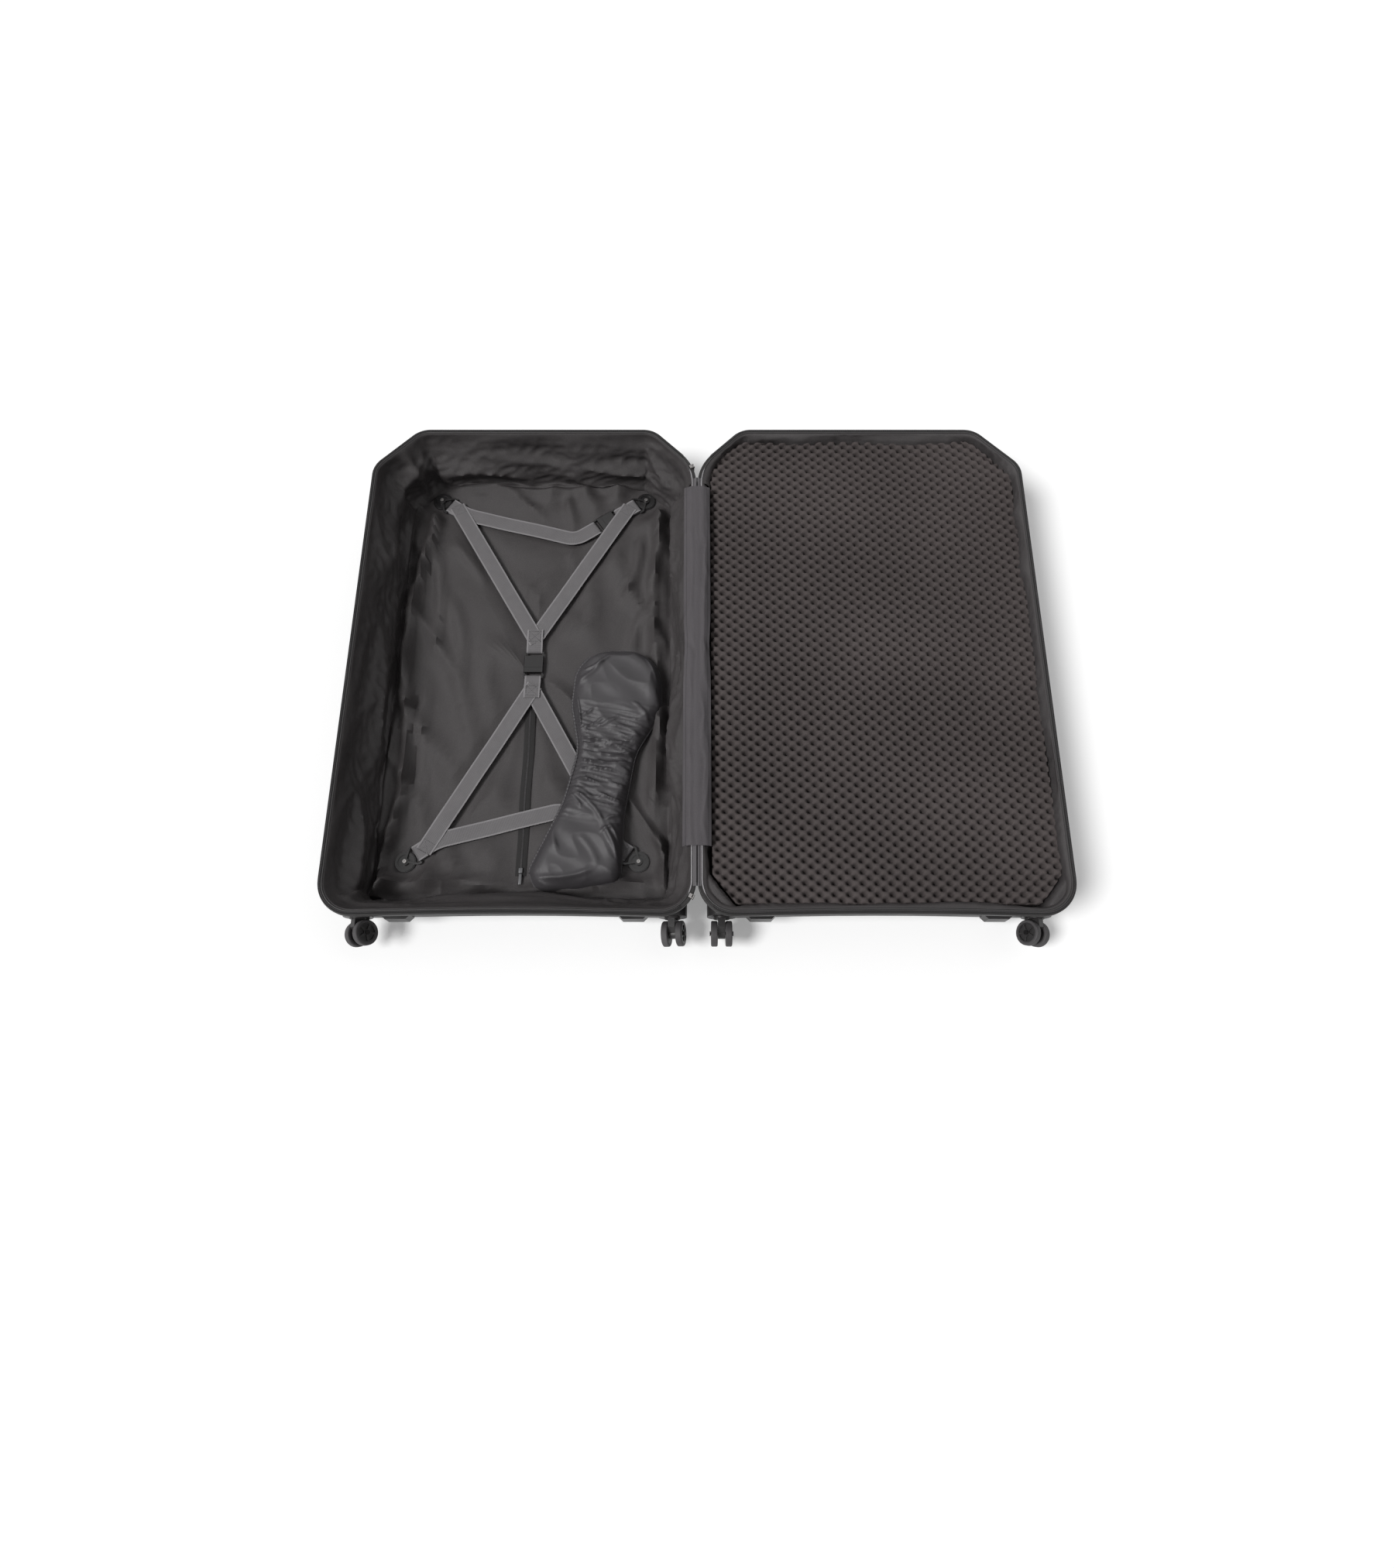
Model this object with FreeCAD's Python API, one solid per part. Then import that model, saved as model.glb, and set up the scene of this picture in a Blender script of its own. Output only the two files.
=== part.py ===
import FreeCAD, Part
import math
import os

# A hard bike travel case, lying open like a clamshell.
# X runs across, with the hinge line at X = 0, the base at X < 0 and the lid at X > 0.
# Y runs along the hinge, with the casters at the near end (-Y). Z is up, the floor is Z = 0.
# All sizes are in millimetres.

Vector = FreeCAD.Vector
Rotation = FreeCAD.Rotation
Placement = FreeCAD.Placement
UP = Vector(0, 0, 1)

# Shared fits and rounds
running_gap = 0.05
hole_clearance = 0.1
face_gap = 0.3
seat_gap = 0.3
edge_round = 3.0

# Shell halves
half_width = 780.0
case_length = 1200.0
shell_depth = 165.0
shell_wall = 3.0
hinge_gap = 1.5
corner_radius = 75.0
chamfer_across = 105.0
chamfer_along = 105.0
chamfer_blend = 60.0
hinge_blend = 120.0
near_bow = 8.0
bow_radius = 8000.0
bead_height = 14.0
bead_step = 9.0
bead_round = 2.0
draft_run = 16.0
bottom_round = 30.0
rib_count = 6
rib_pitch = 104.0
rib_width = 22.0
rib_depth = 5.0
rib_end_margin = 150.0

# Rim trim
zip_edge = 1.0
zip_tape_width = 6.6
zip_tape_height = 2.4
zip_teeth_width = 2.6
zip_teeth_height = 1.3
zip_stop = 34.0
closing_gap = 0.3
piping_radius = 1.4

# Hinge
band_width = 6.6
band_thickness = 2.0
band_lip_width = 3.1
band_overrun = 12.0
welt_radius = 1.6
flap_half_width = 31.0
flap_thickness = 2.0
flap_droop = 13.0
flap_near_margin = 148.0
flap_far_margin = 168.0

# Liners
liner_thickness = 2.0
liner_floor_inset = 48.0
liner_corner = 14.0

# Foam sheet
foam_thickness = 30.0
foam_below_rim = 14.0
foam_seat_gap = 0.8
foam_slack = 2.0
foam_flap_gap = 1.0
foam_near_cut_across = 50.0
foam_near_cut_along = 64.0
foam_corner = 8.0

# Strap anchors
anchor_side_margin = 42.95
anchor_far_margin = 12.2
anchor_near_margin = 66.2
anchor_angle = 34.0
disc_radius = 23.5
disc_base_height = 3.4
disc_height = 5.0
disc_ring_outer = 21.5
disc_ring_inner = 16.5
disc_boss_radius = 8.5
loop_thickness = 3.0
loop_length = 30.0
loop_shank = 7.0
loop_arm_width = 4.5
loop_eye_radius = 8.0
bar_radius = 2.0
screw_shank_radius = 2.5
screw_head_radius = 4.2
screw_head_height = 3.6
screw_key_radius = 2.0
screw_key_depth = 2.0

# Webbing
web_width = 38.0
web_thickness = 1.8
web_layer_gap = 0.2
web_eye_gap = 0.25
web_side_gap = 0.5
tail_length = 52.0

# Side-release buckles
buckle_height = 11.0
socket_length = 30.0
plug_shoulder = 12.0
buckle_frame = 12.0
buckle_arm = 3.6
pocket_wall = 5.4
pocket_height = 6.4
pocket_depth = 25.0
prong_width = 5.0
prong_length = 21.0
guide_width = 5.0
window_length = 12.0
window_offset = 6.0
plug_gap = 0.4
centre_web = 34.0

# Casters
wheel_radius = 27.0
tyre_wall = 6.0
wheel_width = 14.0
wheel_side_gap = 0.8
hub_recess = 3.0
hub_rim = 3.0
hub_boss_radius = 6.5
spoke_count = 5
spoke_width = 4.0
axle_radius = 3.0
axle_head_radius = 5.0
axle_head = 2.0
axle_past_rim = 18.0
axle_drop = 33.0
caster_trail = 12.0
caster_from_hinge = 52.0
caster_from_side = 62.0
caster_height = 80.0
caster_turns = {"base_outer": -40.0, "base_inner": -12.0, "lid_inner": 0.0, "lid_outer": 36.0}
fork_width = 15.0
fork_head_radius = 17.0
fork_head = 4.0
fork_leg = 11.0
swivel_pin_radius = 5.0
swivel_pin_length = 18.0
boss_radius = 31.0

# Skid feet
foot_length = 62.0
foot_clearance = 6.0
foot_width = 34.0
foot_behind_rim = 8.0
foot_bevel = 9.0

# Handles
handle_grip = 150.0
handle_bar = 9.0
handle_drop = 42.0
handle_inset = 6.2
handle_below_rim = 47.0
handle_pin_radius = 3.0
handle_pin_length = 9.0
bracket_length = 16.0
bracket_height = 24.0
bracket_edge = 1.0

# Zip sliders
slider_length = 11.4
slider_width = 9.0
slider_height = 5.4
slider_angle = 27.0
pull_length = 15.0
pull_width = 7.0
pull_thickness = 1.6
pull_pin_radius = 0.8
pull_pin_gap = 0.1

# Drivetrain cover, as points along its edge: from the hinge, from the near rim, round
cover_thickness = 46.0
cover_round = 14.0
cover_points = (
    (-352.0, 68.0, 42.0),
    (-166.0, 100.0, 26.0),
    (-163.0, 250.0, 300.0),
    (-140.0, 400.0, 150.0),
    (-80.0, 505.0, 70.0),
    (-86.0, 662.0, 85.0),
    (-282.0, 662.0, 85.0),
    (-292.0, 520.0, 70.0),
    (-272.0, 410.0, 150.0),
    (-302.0, 280.0, 300.0),
    (-372.0, 124.0, 34.0),
)

# Levels and places that follow from the sizes
near_reach = axle_past_rim + wheel_radius
y_near = (near_reach - case_length) / 2
y_far = y_near + case_length
base_mid = -(half_width + hinge_gap) / 2
y_mid = y_near + case_length / 2
hinge_z = shell_depth + zip_tape_height + zip_teeth_height + closing_gap
bead_bottom = shell_depth - bead_height
handle_height = shell_depth - handle_below_rim
rim_inner = bead_step + shell_wall
piping_inset = zip_edge + zip_tape_width + seat_gap + piping_radius
piping_z = shell_depth + piping_radius
liner_top = shell_depth - face_gap
liner_top_inset = rim_inner + seat_gap
liner_bottom = rib_depth + shell_wall + seat_gap
floor_z = liner_bottom + liner_thickness
floor_inset = liner_top_inset + liner_thickness + liner_floor_inset
anchor_spread = (half_width - hinge_gap) / 2 - floor_inset - anchor_side_margin - disc_radius
anchor_far = y_far - floor_inset - anchor_far_margin - disc_radius
anchor_near = y_near + floor_inset + anchor_near_margin + disc_radius
strap_mid = (anchor_far + anchor_near) / 2
foam_top = shell_depth - foam_below_rim
foam_bottom = foam_top - foam_thickness
disc_top = floor_z + disc_height
loop_z = disc_top + web_layer_gap
bar_z = loop_z + loop_thickness / 2
eye_rise = bar_radius + web_eye_gap
bar_half_length = web_width / 2 + web_side_gap + loop_arm_width
buckle_width = web_width + 2 * (web_side_gap + buckle_arm)
pocket_half_width = buckle_width / 2 - pocket_wall
cross_bar_z = bar_z + max(web_thickness + web_layer_gap, buckle_height / 2 + face_gap - eye_rise)
cover_bottom = cross_bar_z + eye_rise + web_thickness + face_gap
socket_reach = socket_length + buckle_frame
plug_reach = plug_gap + plug_shoulder + buckle_frame
rivet_half = fork_width / 2 + 2 * wheel_side_gap + wheel_width
hub_radius = wheel_radius - tyre_wall
caster_sweep = math.hypot(wheel_radius + caster_trail, rivet_half + axle_head)
y_axle = y_near - axle_past_rim
y_boss = y_axle + axle_drop

wall_reach = corner_radius
slider_inset = zip_edge + zip_tape_width - slider_length / 2
pull_x = slider_length / 2 - slider_inset - 2 * pull_pin_radius
pull_z = slider_height / 2
slot_start = pull_x - 2 * pull_thickness

parts = {}


def inset_corners(corners, inset):
    """Move every side of a polygon inwards and return its new corners with their rounds."""
    lines = []
    count = len(corners)
    for i in range(count):
        x0, y0, _ = corners[i]
        x1, y1, _ = corners[(i + 1) % count]
        length = math.hypot(x1 - x0, y1 - y0)
        dx, dy = (x1 - x0) / length, (y1 - y0) / length
        lines.append((x0 - dy * inset, y0 + dx * inset, dx, dy))
    moved = []
    for i in range(count):
        ax, ay, adx, ady = lines[i - 1]
        bx, by, bdx, bdy = lines[i]
        cross = adx * bdy - ady * bdx
        t = ((bx - ax) * bdy - (by - ay) * bdx) / cross
        turn = 1 if cross > 0 else -1
        moved.append((ax + adx * t, ay + ady * t, corners[i][2] - turn * inset))
    return moved


def rounded_wire(corners, z, least=1.0):
    """Join corners (x, y, round) by straight sides and tangent arcs at height z."""
    count = len(corners)
    ends = []
    for i in range(count):
        px, py, _ = corners[i - 1]
        x, y, radius = corners[i]
        nx, ny, _ = corners[(i + 1) % count]
        before = Vector(x - px, y - py, 0).normalize()
        after = Vector(nx - x, ny - y, 0).normalize()
        half_turn = before.getAngle(after) / 2
        radius = max(radius, least)
        corner = Vector(x, y, z)
        reach = radius * math.tan(half_turn)
        inward = (after - before).normalize()
        middle = corner + inward * (radius / math.cos(half_turn) - radius)
        ends.append((corner - before * reach, middle, corner + after * reach))
    edges = []
    for i in range(count):
        start, middle, stop = ends[i]
        edges.append(Part.Arc(start, middle, stop).toShape())
        edges.append(Part.LineSegment(stop, ends[(i + 1) % count][0]).toShape())
    return Part.Wire(edges)


def rim_corners():
    """Outer edge of the base's rim: round near corners, chamfered far ones."""
    left, right = -half_width, -hinge_gap
    return [
        (left, y_near, corner_radius),
        ((left + right) / 2, y_near + near_bow, bow_radius),
        (right, y_near, corner_radius),
        (right, y_far - chamfer_along, hinge_blend),
        (right - chamfer_across, y_far, chamfer_blend),
        (left + chamfer_across, y_far, chamfer_blend),
        (left, y_far - chamfer_along, chamfer_blend),
    ]


def rim_wire(inset, z, least=liner_corner):
    return rounded_wire(inset_corners(rim_corners(), inset), z, least)


def prism(wire, height):
    return Part.Face(wire).extrude(UP * height)


def loft(low, high):
    return Part.makeLoft([low, high], True, True)


def ring(outer_inset, inner_inset, z, height):
    """A band that follows the rim between two insets."""
    outside = prism(rim_wire(outer_inset, z), height)
    return outside.cut(prism(rim_wire(inner_inset, z), height))


def level_edges(shape, z):
    """Edges that lie flat at height z."""
    return [e for e in shape.Edges if abs(e.BoundBox.ZMin - z) < 1e-6 and abs(e.BoundBox.ZMax - z) < 1e-6]


def box(x0, x1, y0, y1, z0, z1):
    return Part.makeBox(x1 - x0, y1 - y0, z1 - z0, Vector(x0, y0, z0))


def rod(radius, start, stop):
    return Part.makeCylinder(radius, (stop - start).Length, start, stop - start)


def mirrored(shape):
    """The lid's copy of a base piece, across the hinge plane."""
    return shape.mirror(Vector(0, 0, 0), Vector(1, 0, 0))


def add(name, *solids):
    parts[name] = solids[0] if len(solids) == 1 else Part.makeCompound(list(solids))


# Shell halves


def stadium(x, y0, y1, width, height):
    """A long slot shape with round ends, standing on the floor."""
    r = width / 2
    ends = [Part.makeCylinder(r, height, Vector(x, y, 0)) for y in (y0 + r, y1 - r)]
    return box(x - r, x + r, y0 + r, y1 - r, 0, height).fuse(ends)


def ribs(extra, height):
    """The lengthwise grooves of the big face, grown by extra on each side."""
    first = base_mid - rib_pitch * (rib_count - 1) / 2
    y0 = y_near + rib_end_margin - extra
    y1 = y_far - rib_end_margin + extra
    width = rib_width + 2 * extra
    return [stadium(first + i * rib_pitch, y0, y1, width, height) for i in range(rib_count)]


def tub(inset, floor, round_radius):
    """A drafted tray with a rounded floor edge, from its floor up to the bead."""
    tray = loft(rim_wire(inset + draft_run, floor), rim_wire(inset, bead_bottom))
    return tray.makeFillet(round_radius, level_edges(tray, floor))


def floor_round():
    """The floor round, limited by the tightest corner at the floor."""
    tightest = min(chamfer_blend, corner_radius) - bead_step - draft_run
    return min(bottom_round, tightest - shell_wall)


def shell_envelope():
    """The outside of the base half with nothing hollowed out."""
    bead = prism(rim_wire(0, bead_bottom), bead_height)
    flat = level_edges(bead, shell_depth) + level_edges(bead, bead_bottom)
    bead = bead.makeFillet(bead_round, flat)
    return tub(bead_step, 0, floor_round()).fuse(bead)


def shell_half(envelope):
    hollow = tub(rim_inner, shell_wall, floor_round() - shell_wall)
    mouth = prism(rim_wire(rim_inner, bead_bottom), bead_height + shell_wall)
    hollow = hollow.fuse(mouth)
    for ridge in ribs(shell_wall, rib_depth + shell_wall):
        hollow = hollow.cut(ridge)
    shell = envelope.cut(hollow)
    for groove in ribs(0, rib_depth):
        shell = shell.cut(groove)
    return shell.removeSplitter()


# Rim trim


def zip_tape():
    """The zip half that runs round three sides, with its row of teeth."""
    tape = ring(zip_edge, zip_edge + zip_tape_width, shell_depth, zip_tape_height)
    first = zip_edge + (zip_tape_width - zip_teeth_width) / 2
    teeth = ring(first, first + zip_teeth_width, shell_depth + zip_tape_height, zip_teeth_height)
    hinge_side = box(-zip_stop, half_width, y_near, y_far, 0, 2 * hinge_z)
    return tape.fuse(teeth).cut(hinge_side)


def piping():
    """The round bead that finishes the liner's edge."""
    path = rim_wire(piping_inset, piping_z)
    start = path.Edges[1].Vertexes[0].Point
    ahead = path.Edges[1].tangentAt(path.Edges[1].FirstParameter)
    section = Part.Wire([Part.makeCircle(piping_radius, start, ahead)])
    path = Part.Wire(path.Edges[1:] + path.Edges[:1])
    return path.makePipeShell([section], True, False)


def hinge_band():
    """The base's grey hinge band, with a lip that cups the welt."""
    right = -welt_radius - seat_gap
    left = right - band_width
    y0 = y_near + corner_radius - band_overrun
    y1 = far_tangent() + band_overrun
    flat = box(left, right, y0, y1, shell_depth, shell_depth + band_thickness)
    lip = box(right - band_lip_width, right, y0, y1, shell_depth, hinge_z - face_gap)
    cup = rod(welt_radius + seat_gap, Vector(0, y0, hinge_z), Vector(0, y1, hinge_z))
    return flat.fuse(lip).cut(cup).removeSplitter()


def far_tangent():
    """Where the hinge side's straight edge ends, before the far chamfer."""
    turn = math.atan2(chamfer_across, chamfer_along)
    return y_far - chamfer_along - hinge_blend * math.tan(turn / 2)


def hinge_welt():
    y0 = y_near + corner_radius - band_overrun
    y1 = far_tangent() + band_overrun
    return rod(welt_radius, Vector(0, y0, hinge_z), Vector(0, y1, hinge_z))


def arch_points(crown, half, droop, y):
    return [Vector(-half, y, crown - droop), Vector(0, y, crown), Vector(half, y, crown - droop)]


def hinge_flap():
    """The cloth strip that arches over the hinge from one liner to the other."""
    y0 = y_near + flap_near_margin
    y1 = y_far - flap_far_margin
    low = arch_points(hinge_z + welt_radius + seat_gap, flap_half_width, flap_droop, y0)
    high = [p + UP * flap_thickness for p in low]
    edges = [
        Part.Arc(*low).toShape(),
        Part.LineSegment(low[2], high[2]).toShape(),
        Part.Arc(*reversed(high)).toShape(),
        Part.LineSegment(high[0], low[0]).toShape(),
    ]
    return Part.Face(Part.Wire(edges)).extrude(Vector(0, y1 - y0, 0))


# Liner and foam


def liner_inset(z):
    """How far the liner's inner face stands inside the rim's edge at height z."""
    share = (liner_top - z) / (liner_top - floor_z)
    return liner_top_inset + liner_thickness + share * liner_floor_inset


def liner():
    outside = loft(
        rim_wire(liner_top_inset + liner_floor_inset, liner_bottom),
        rim_wire(liner_top_inset, liner_top),
    )
    inside = loft(rim_wire(liner_inset(floor_z), floor_z), rim_wire(liner_inset(liner_top), liner_top))
    return outside.cut(inside)


def foam_corners(inset):
    """The foam sheet's outline: the rim's, clear of the flap, with the near corners cut off straight."""
    rim = inset_corners(rim_corners(), inset)
    left, near = rim[0][0], rim[0][1] + near_bow
    right = min(rim[2][0], -flap_half_width - foam_flap_gap)
    return [
        (left, near + foam_near_cut_along, foam_corner),
        (left + foam_near_cut_across, near, foam_corner),
        (right - foam_near_cut_across, near, foam_corner),
        (right, near + foam_near_cut_along, foam_corner),
        (right, *rim[3][1:]),
    ] + rim[4:]


def foam_pad():
    low = rounded_wire(foam_corners(liner_inset(foam_bottom) + foam_seat_gap), foam_bottom, foam_corner)
    high = rounded_wire(foam_corners(liner_inset(foam_top) + foam_slack), foam_top, foam_corner)
    return mirrored(loft(low, high))


# Strap anchors


def placed(shape, x, y, z, angle=0.0):
    """Turn a shape about the vertical and set its origin at a place."""
    return placed_at(shape, Placement(Vector(x, y, z), Rotation(UP, angle)))


def placed_at(shape, placement):
    return shape.transformed(placement.toMatrix(), True)


def anchors():
    """The four anchors as (x, y, direction of the loop), towards the middle of the base."""
    spots = []
    for side, end in ((-1, 1), (1, 1), (-1, -1), (1, -1)):
        y = anchor_far if end > 0 else anchor_near
        angle = math.degrees(math.atan2(-end * math.tan(math.radians(anchor_angle)), -side))
        spots.append((base_mid + side * anchor_spread, y, angle))
    return spots


def anchor_disc():
    disc = Part.makeCylinder(disc_radius, disc_base_height)
    raised = Part.makeCylinder(disc_ring_outer, disc_height)
    raised = raised.cut(Part.makeCylinder(disc_ring_inner, disc_height))
    boss = Part.makeCylinder(disc_boss_radius, disc_height)
    hole = Part.makeCylinder(screw_shank_radius + hole_clearance, disc_height)
    return disc.fuse([raised, boss]).cut(hole).removeSplitter()


def anchor_loop():
    """The triangular loop: an eye at the screw, two arms and the web bar."""
    half_arm = loop_arm_width / 2
    spread = bar_half_length - half_arm
    bend = loop_length - loop_shank
    eye = Part.makeCylinder(loop_eye_radius, loop_thickness)
    arms = []
    for side in (-1, 1):
        angle = math.degrees(math.atan2(side * spread, bend))
        arm = box(0, math.hypot(spread, bend), -half_arm, half_arm, 0, loop_thickness)
        arms.append(placed(arm, 0, 0, 0, angle))
        middle_y = side * spread
        arms.append(box(bend, loop_length, middle_y - half_arm, middle_y + half_arm, 0, loop_thickness))
    middle = loop_thickness / 2
    bar = rod(
        bar_radius,
        Vector(loop_length, -bar_half_length, middle),
        Vector(loop_length, bar_half_length, middle),
    )
    hole = Part.makeCylinder(screw_shank_radius + hole_clearance, loop_thickness)
    return eye.fuse(arms + [bar]).cut(hole).removeSplitter()


def anchor_screw():
    """A socket screw: shank through the loop and disc, head on the loop."""
    shank = Part.makeCylinder(screw_shank_radius, loop_z + loop_thickness - floor_z)
    head_z = loop_z + loop_thickness - floor_z
    head = Part.makeCylinder(screw_head_radius, screw_head_height, Vector(0, 0, head_z))
    key_z = head_z + screw_head_height - screw_key_depth
    corners = []
    for i in range(6):
        turn = math.radians(60 * i)
        corners.append(Vector(screw_key_radius * math.cos(turn), screw_key_radius * math.sin(turn), key_z))
    key = prism(Part.makePolygon(corners + corners[:1]), screw_key_depth)
    return shank.fuse(head).cut(key).removeSplitter()


# Webbing


def web_band(start, stop, height):
    """A flat run of webbing between two points, laid on top of bars at a height."""
    run = stop - start
    angle = math.degrees(math.atan2(run.y, run.x))
    strip = box(0, run.Length, -web_width / 2, web_width / 2, 0, web_thickness)
    return placed(strip, start.x, start.y, height + eye_rise, angle)


def web_eye(place, angle, height):
    """The webbing's fold round a bar at a place, for a strap that leaves at an angle."""
    ends = Vector(0, -web_width / 2, 0), Vector(0, web_width / 2, 0)
    fold = rod(eye_rise + web_thickness, *ends).cut(rod(eye_rise, *ends))
    return placed(fold, place.x, place.y, height, angle)


def along(place, angle, distance):
    turn = math.radians(angle)
    return place + Vector(math.cos(turn), math.sin(turn), 0) * distance


def anchor_tail(spot):
    """Bar and tail end of the web sewn to an anchor."""
    x, y, angle = spot
    bar = along(Vector(x, y, 0), angle, loop_length)
    return bar, along(bar, angle, tail_length), angle


def side_strap(left_spot, right_spot):
    """A strap between two anchors, with its buckle next to the right one."""
    left_bar, left_end, left_angle = anchor_tail(left_spot)
    right_bar, right_end, right_angle = anchor_tail(right_spot)
    mate = along(right_end, right_angle, socket_reach)
    plug_bar = along(mate, right_angle, plug_reach)
    short = web_band(right_bar, right_end, bar_z)
    short = short.fuse([web_eye(right_bar, right_angle, bar_z), web_eye(right_end, right_angle, bar_z)])
    turn_in = along(plug_bar, right_angle, web_width / 2)
    long = web_band(left_bar, left_end, bar_z)
    long = long.fuse(
        [
            web_eye(left_bar, left_angle, bar_z),
            web_band(left_end, turn_in, bar_z),
            web_band(turn_in, plug_bar, bar_z),
            web_eye(plug_bar, right_angle, bar_z),
        ]
    )
    return short.removeSplitter(), long.removeSplitter(), mate, right_angle


def cross_half(spots, mate, angle, reach):
    """Two legs from a pair of anchors, joined at a short web that ends on the centre buckle."""
    bar = along(mate, angle, reach)
    knot = along(bar, angle, centre_web)
    pieces = [web_band(knot, bar, cross_bar_z), web_eye(bar, angle, cross_bar_z)]
    for spot in spots:
        tail = along(anchor_tail(spot)[0], spot[2], tail_length / 2)
        pieces.append(web_band(tail, knot, cross_bar_z))
    return pieces[0].fuse(pieces[1:]).removeSplitter()


# Side-release buckles, along +X from the mating face at X = 0


def buckle_bar(reach, direction):
    """The open frame and bar at the end of a buckle half."""
    x0, x1 = sorted((direction * (reach - buckle_frame), direction * reach))
    half = buckle_width / 2
    sides = []
    for side in (-1, 1):
        y0, y1 = sorted((side * half, side * (half - buckle_arm)))
        sides.append(box(x0, x1, y0, y1, -bar_radius, bar_radius))
    bar = rod(bar_radius, Vector(direction * reach, -half, 0), Vector(direction * reach, half, 0))
    return sides + [bar]


def buckle_socket():
    half, tall = buckle_width / 2, buckle_height / 2
    body = box(-socket_length, 0, -half, half, -tall, tall)
    body = body.makeFillet(edge_round, [e for e in body.Edges if e.BoundBox.XLength > 1])
    room = pocket_height / 2
    pocket = box(-pocket_depth, 0, -pocket_half_width, pocket_half_width, -room, room)
    window = box(-window_offset - window_length, -window_offset, -half, half, -room, room)
    return body.fuse(buckle_bar(socket_reach, -1)).cut(pocket.fuse(window)).removeSplitter()


def buckle_plug():
    half, tall = buckle_width / 2, buckle_height / 2
    shoulder = box(plug_gap, plug_gap + plug_shoulder, -half, half, -tall, tall)
    shoulder = shoulder.makeFillet(edge_round, [e for e in shoulder.Edges if e.BoundBox.XLength > 1])
    thick = pocket_height / 2 - face_gap
    outer = pocket_half_width - face_gap
    inside = []
    for side in (-1, 1):
        y0, y1 = sorted((side * outer, side * (outer - prong_width)))
        inside.append(box(-prong_length, plug_gap, y0, y1, -thick, thick))
    inside.append(box(-prong_length, plug_gap, -guide_width / 2, guide_width / 2, -thick, thick))
    return shoulder.fuse(inside + buckle_bar(plug_reach, 1)).removeSplitter()


# Casters, built upright about the swivel axis with the boss face at Z = 0


def caster_fork():
    """The swivelling fork: head disc, central leg with the swivel bore and axle hole."""
    half = fork_width / 2
    head = Part.makeCylinder(fork_head_radius, fork_head, Vector(0, 0, -face_gap - fork_head))
    top = -face_gap
    outline = [
        Vector(-half, -fork_leg, top),
        Vector(-half, caster_trail + fork_leg, top),
        Vector(-half, caster_trail + fork_leg, -axle_drop),
        Vector(-half, caster_trail - fork_leg, -axle_drop),
        Vector(-half, -fork_leg, -swivel_pin_length - fork_head),
    ]
    leg = Part.Face(Part.makePolygon(outline + outline[:1])).extrude(Vector(fork_width, 0, 0))
    knuckle = rod(fork_leg, Vector(-half, caster_trail, -axle_drop), Vector(half, caster_trail, -axle_drop))
    bore = Part.makeCylinder(
        swivel_pin_radius + running_gap,
        swivel_pin_length + face_gap,
        Vector(0, 0, -swivel_pin_length - face_gap),
    )
    hole = axle_rod(axle_radius + hole_clearance, half)
    return head.fuse([leg, knuckle]).cut(bore.fuse(hole)).removeSplitter()


def axle_rod(radius, half):
    return rod(radius, Vector(-half, caster_trail, -axle_drop), Vector(half, caster_trail, -axle_drop))


def caster_axle():
    """The riveted axle with a head at each end."""
    pin = axle_rod(axle_radius, rivet_half + axle_head)
    heads = axle_rod(axle_head_radius, rivet_half + axle_head)
    return pin.fuse(heads.cut(axle_rod(axle_head_radius + axle_head, rivet_half))).removeSplitter()


def wheel_disc(radius, x0, x1):
    return rod(radius, Vector(x0, caster_trail, -axle_drop), Vector(x1, caster_trail, -axle_drop))


def caster_wheel(side):
    """One hub and its tyre, on the left (-1) or the right (+1) of the fork."""
    x0, x1 = sorted((side * (fork_width / 2 + wheel_side_gap), side * (rivet_half - wheel_side_gap)))
    hub = wheel_disc(hub_radius, x0, x1)
    outer_face = x1 if side > 0 else x0
    inner_face = outer_face - side * hub_recess
    dish = wheel_disc(hub_radius - hub_rim, *sorted((inner_face, outer_face)))
    boss = wheel_disc(hub_boss_radius, *sorted((inner_face, outer_face)))
    spokes = []
    for i in range(spoke_count):
        lo, hi = sorted((inner_face, outer_face))
        spoke = box(lo, hi, 0, hub_radius - hub_rim, -spoke_width / 2, spoke_width / 2)
        turn = Rotation(Vector(1, 0, 0), 360 * i / spoke_count)
        spokes.append(placed_at(spoke, Placement(Vector(0, caster_trail, -axle_drop), turn)))
    hub = hub.cut(dish).fuse([boss] + spokes).cut(wheel_disc(axle_radius + running_gap, x0, x1))
    tyre = wheel_disc(wheel_radius, x0, x1)
    tyre = tyre.makeFillet(edge_round, [e for e in tyre.Edges if e.BoundBox.XLength < 1e-6])
    tyre = tyre.cut(wheel_disc(hub_radius + running_gap, x0, x1))
    return hub.removeSplitter(), tyre


def caster_places():
    """Each caster's swivel place in X, as (name, x)."""
    outer = half_width - caster_from_side
    return [
        ("base_outer", -outer),
        ("base_inner", -caster_from_hinge),
        ("lid_inner", caster_from_hinge),
        ("lid_outer", outer),
    ]


def set_caster(shape, name, x):
    """Lay an upright caster piece down, turn it on its swivel and move it to its boss."""
    lay = Rotation(Vector(1, 0, 0), -90)
    turn = Rotation(Vector(0, 1, 0), caster_turns[name])
    return placed_at(shape, Placement(Vector(x, y_boss, caster_height), turn.multiply(lay)))


def caster_boss(x, envelope):
    """A round boss on the near wall with the swivel pin that carries the fork."""
    face = Vector(x, y_boss, caster_height)
    behind = Vector(x, y_near + wall_reach, caster_height)
    pin_end = Vector(x, y_boss - swivel_pin_length, caster_height)
    return rod(boss_radius, face, behind).cut(envelope).fuse(rod(swivel_pin_radius, pin_end, face))


# Skid feet and handles


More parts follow.
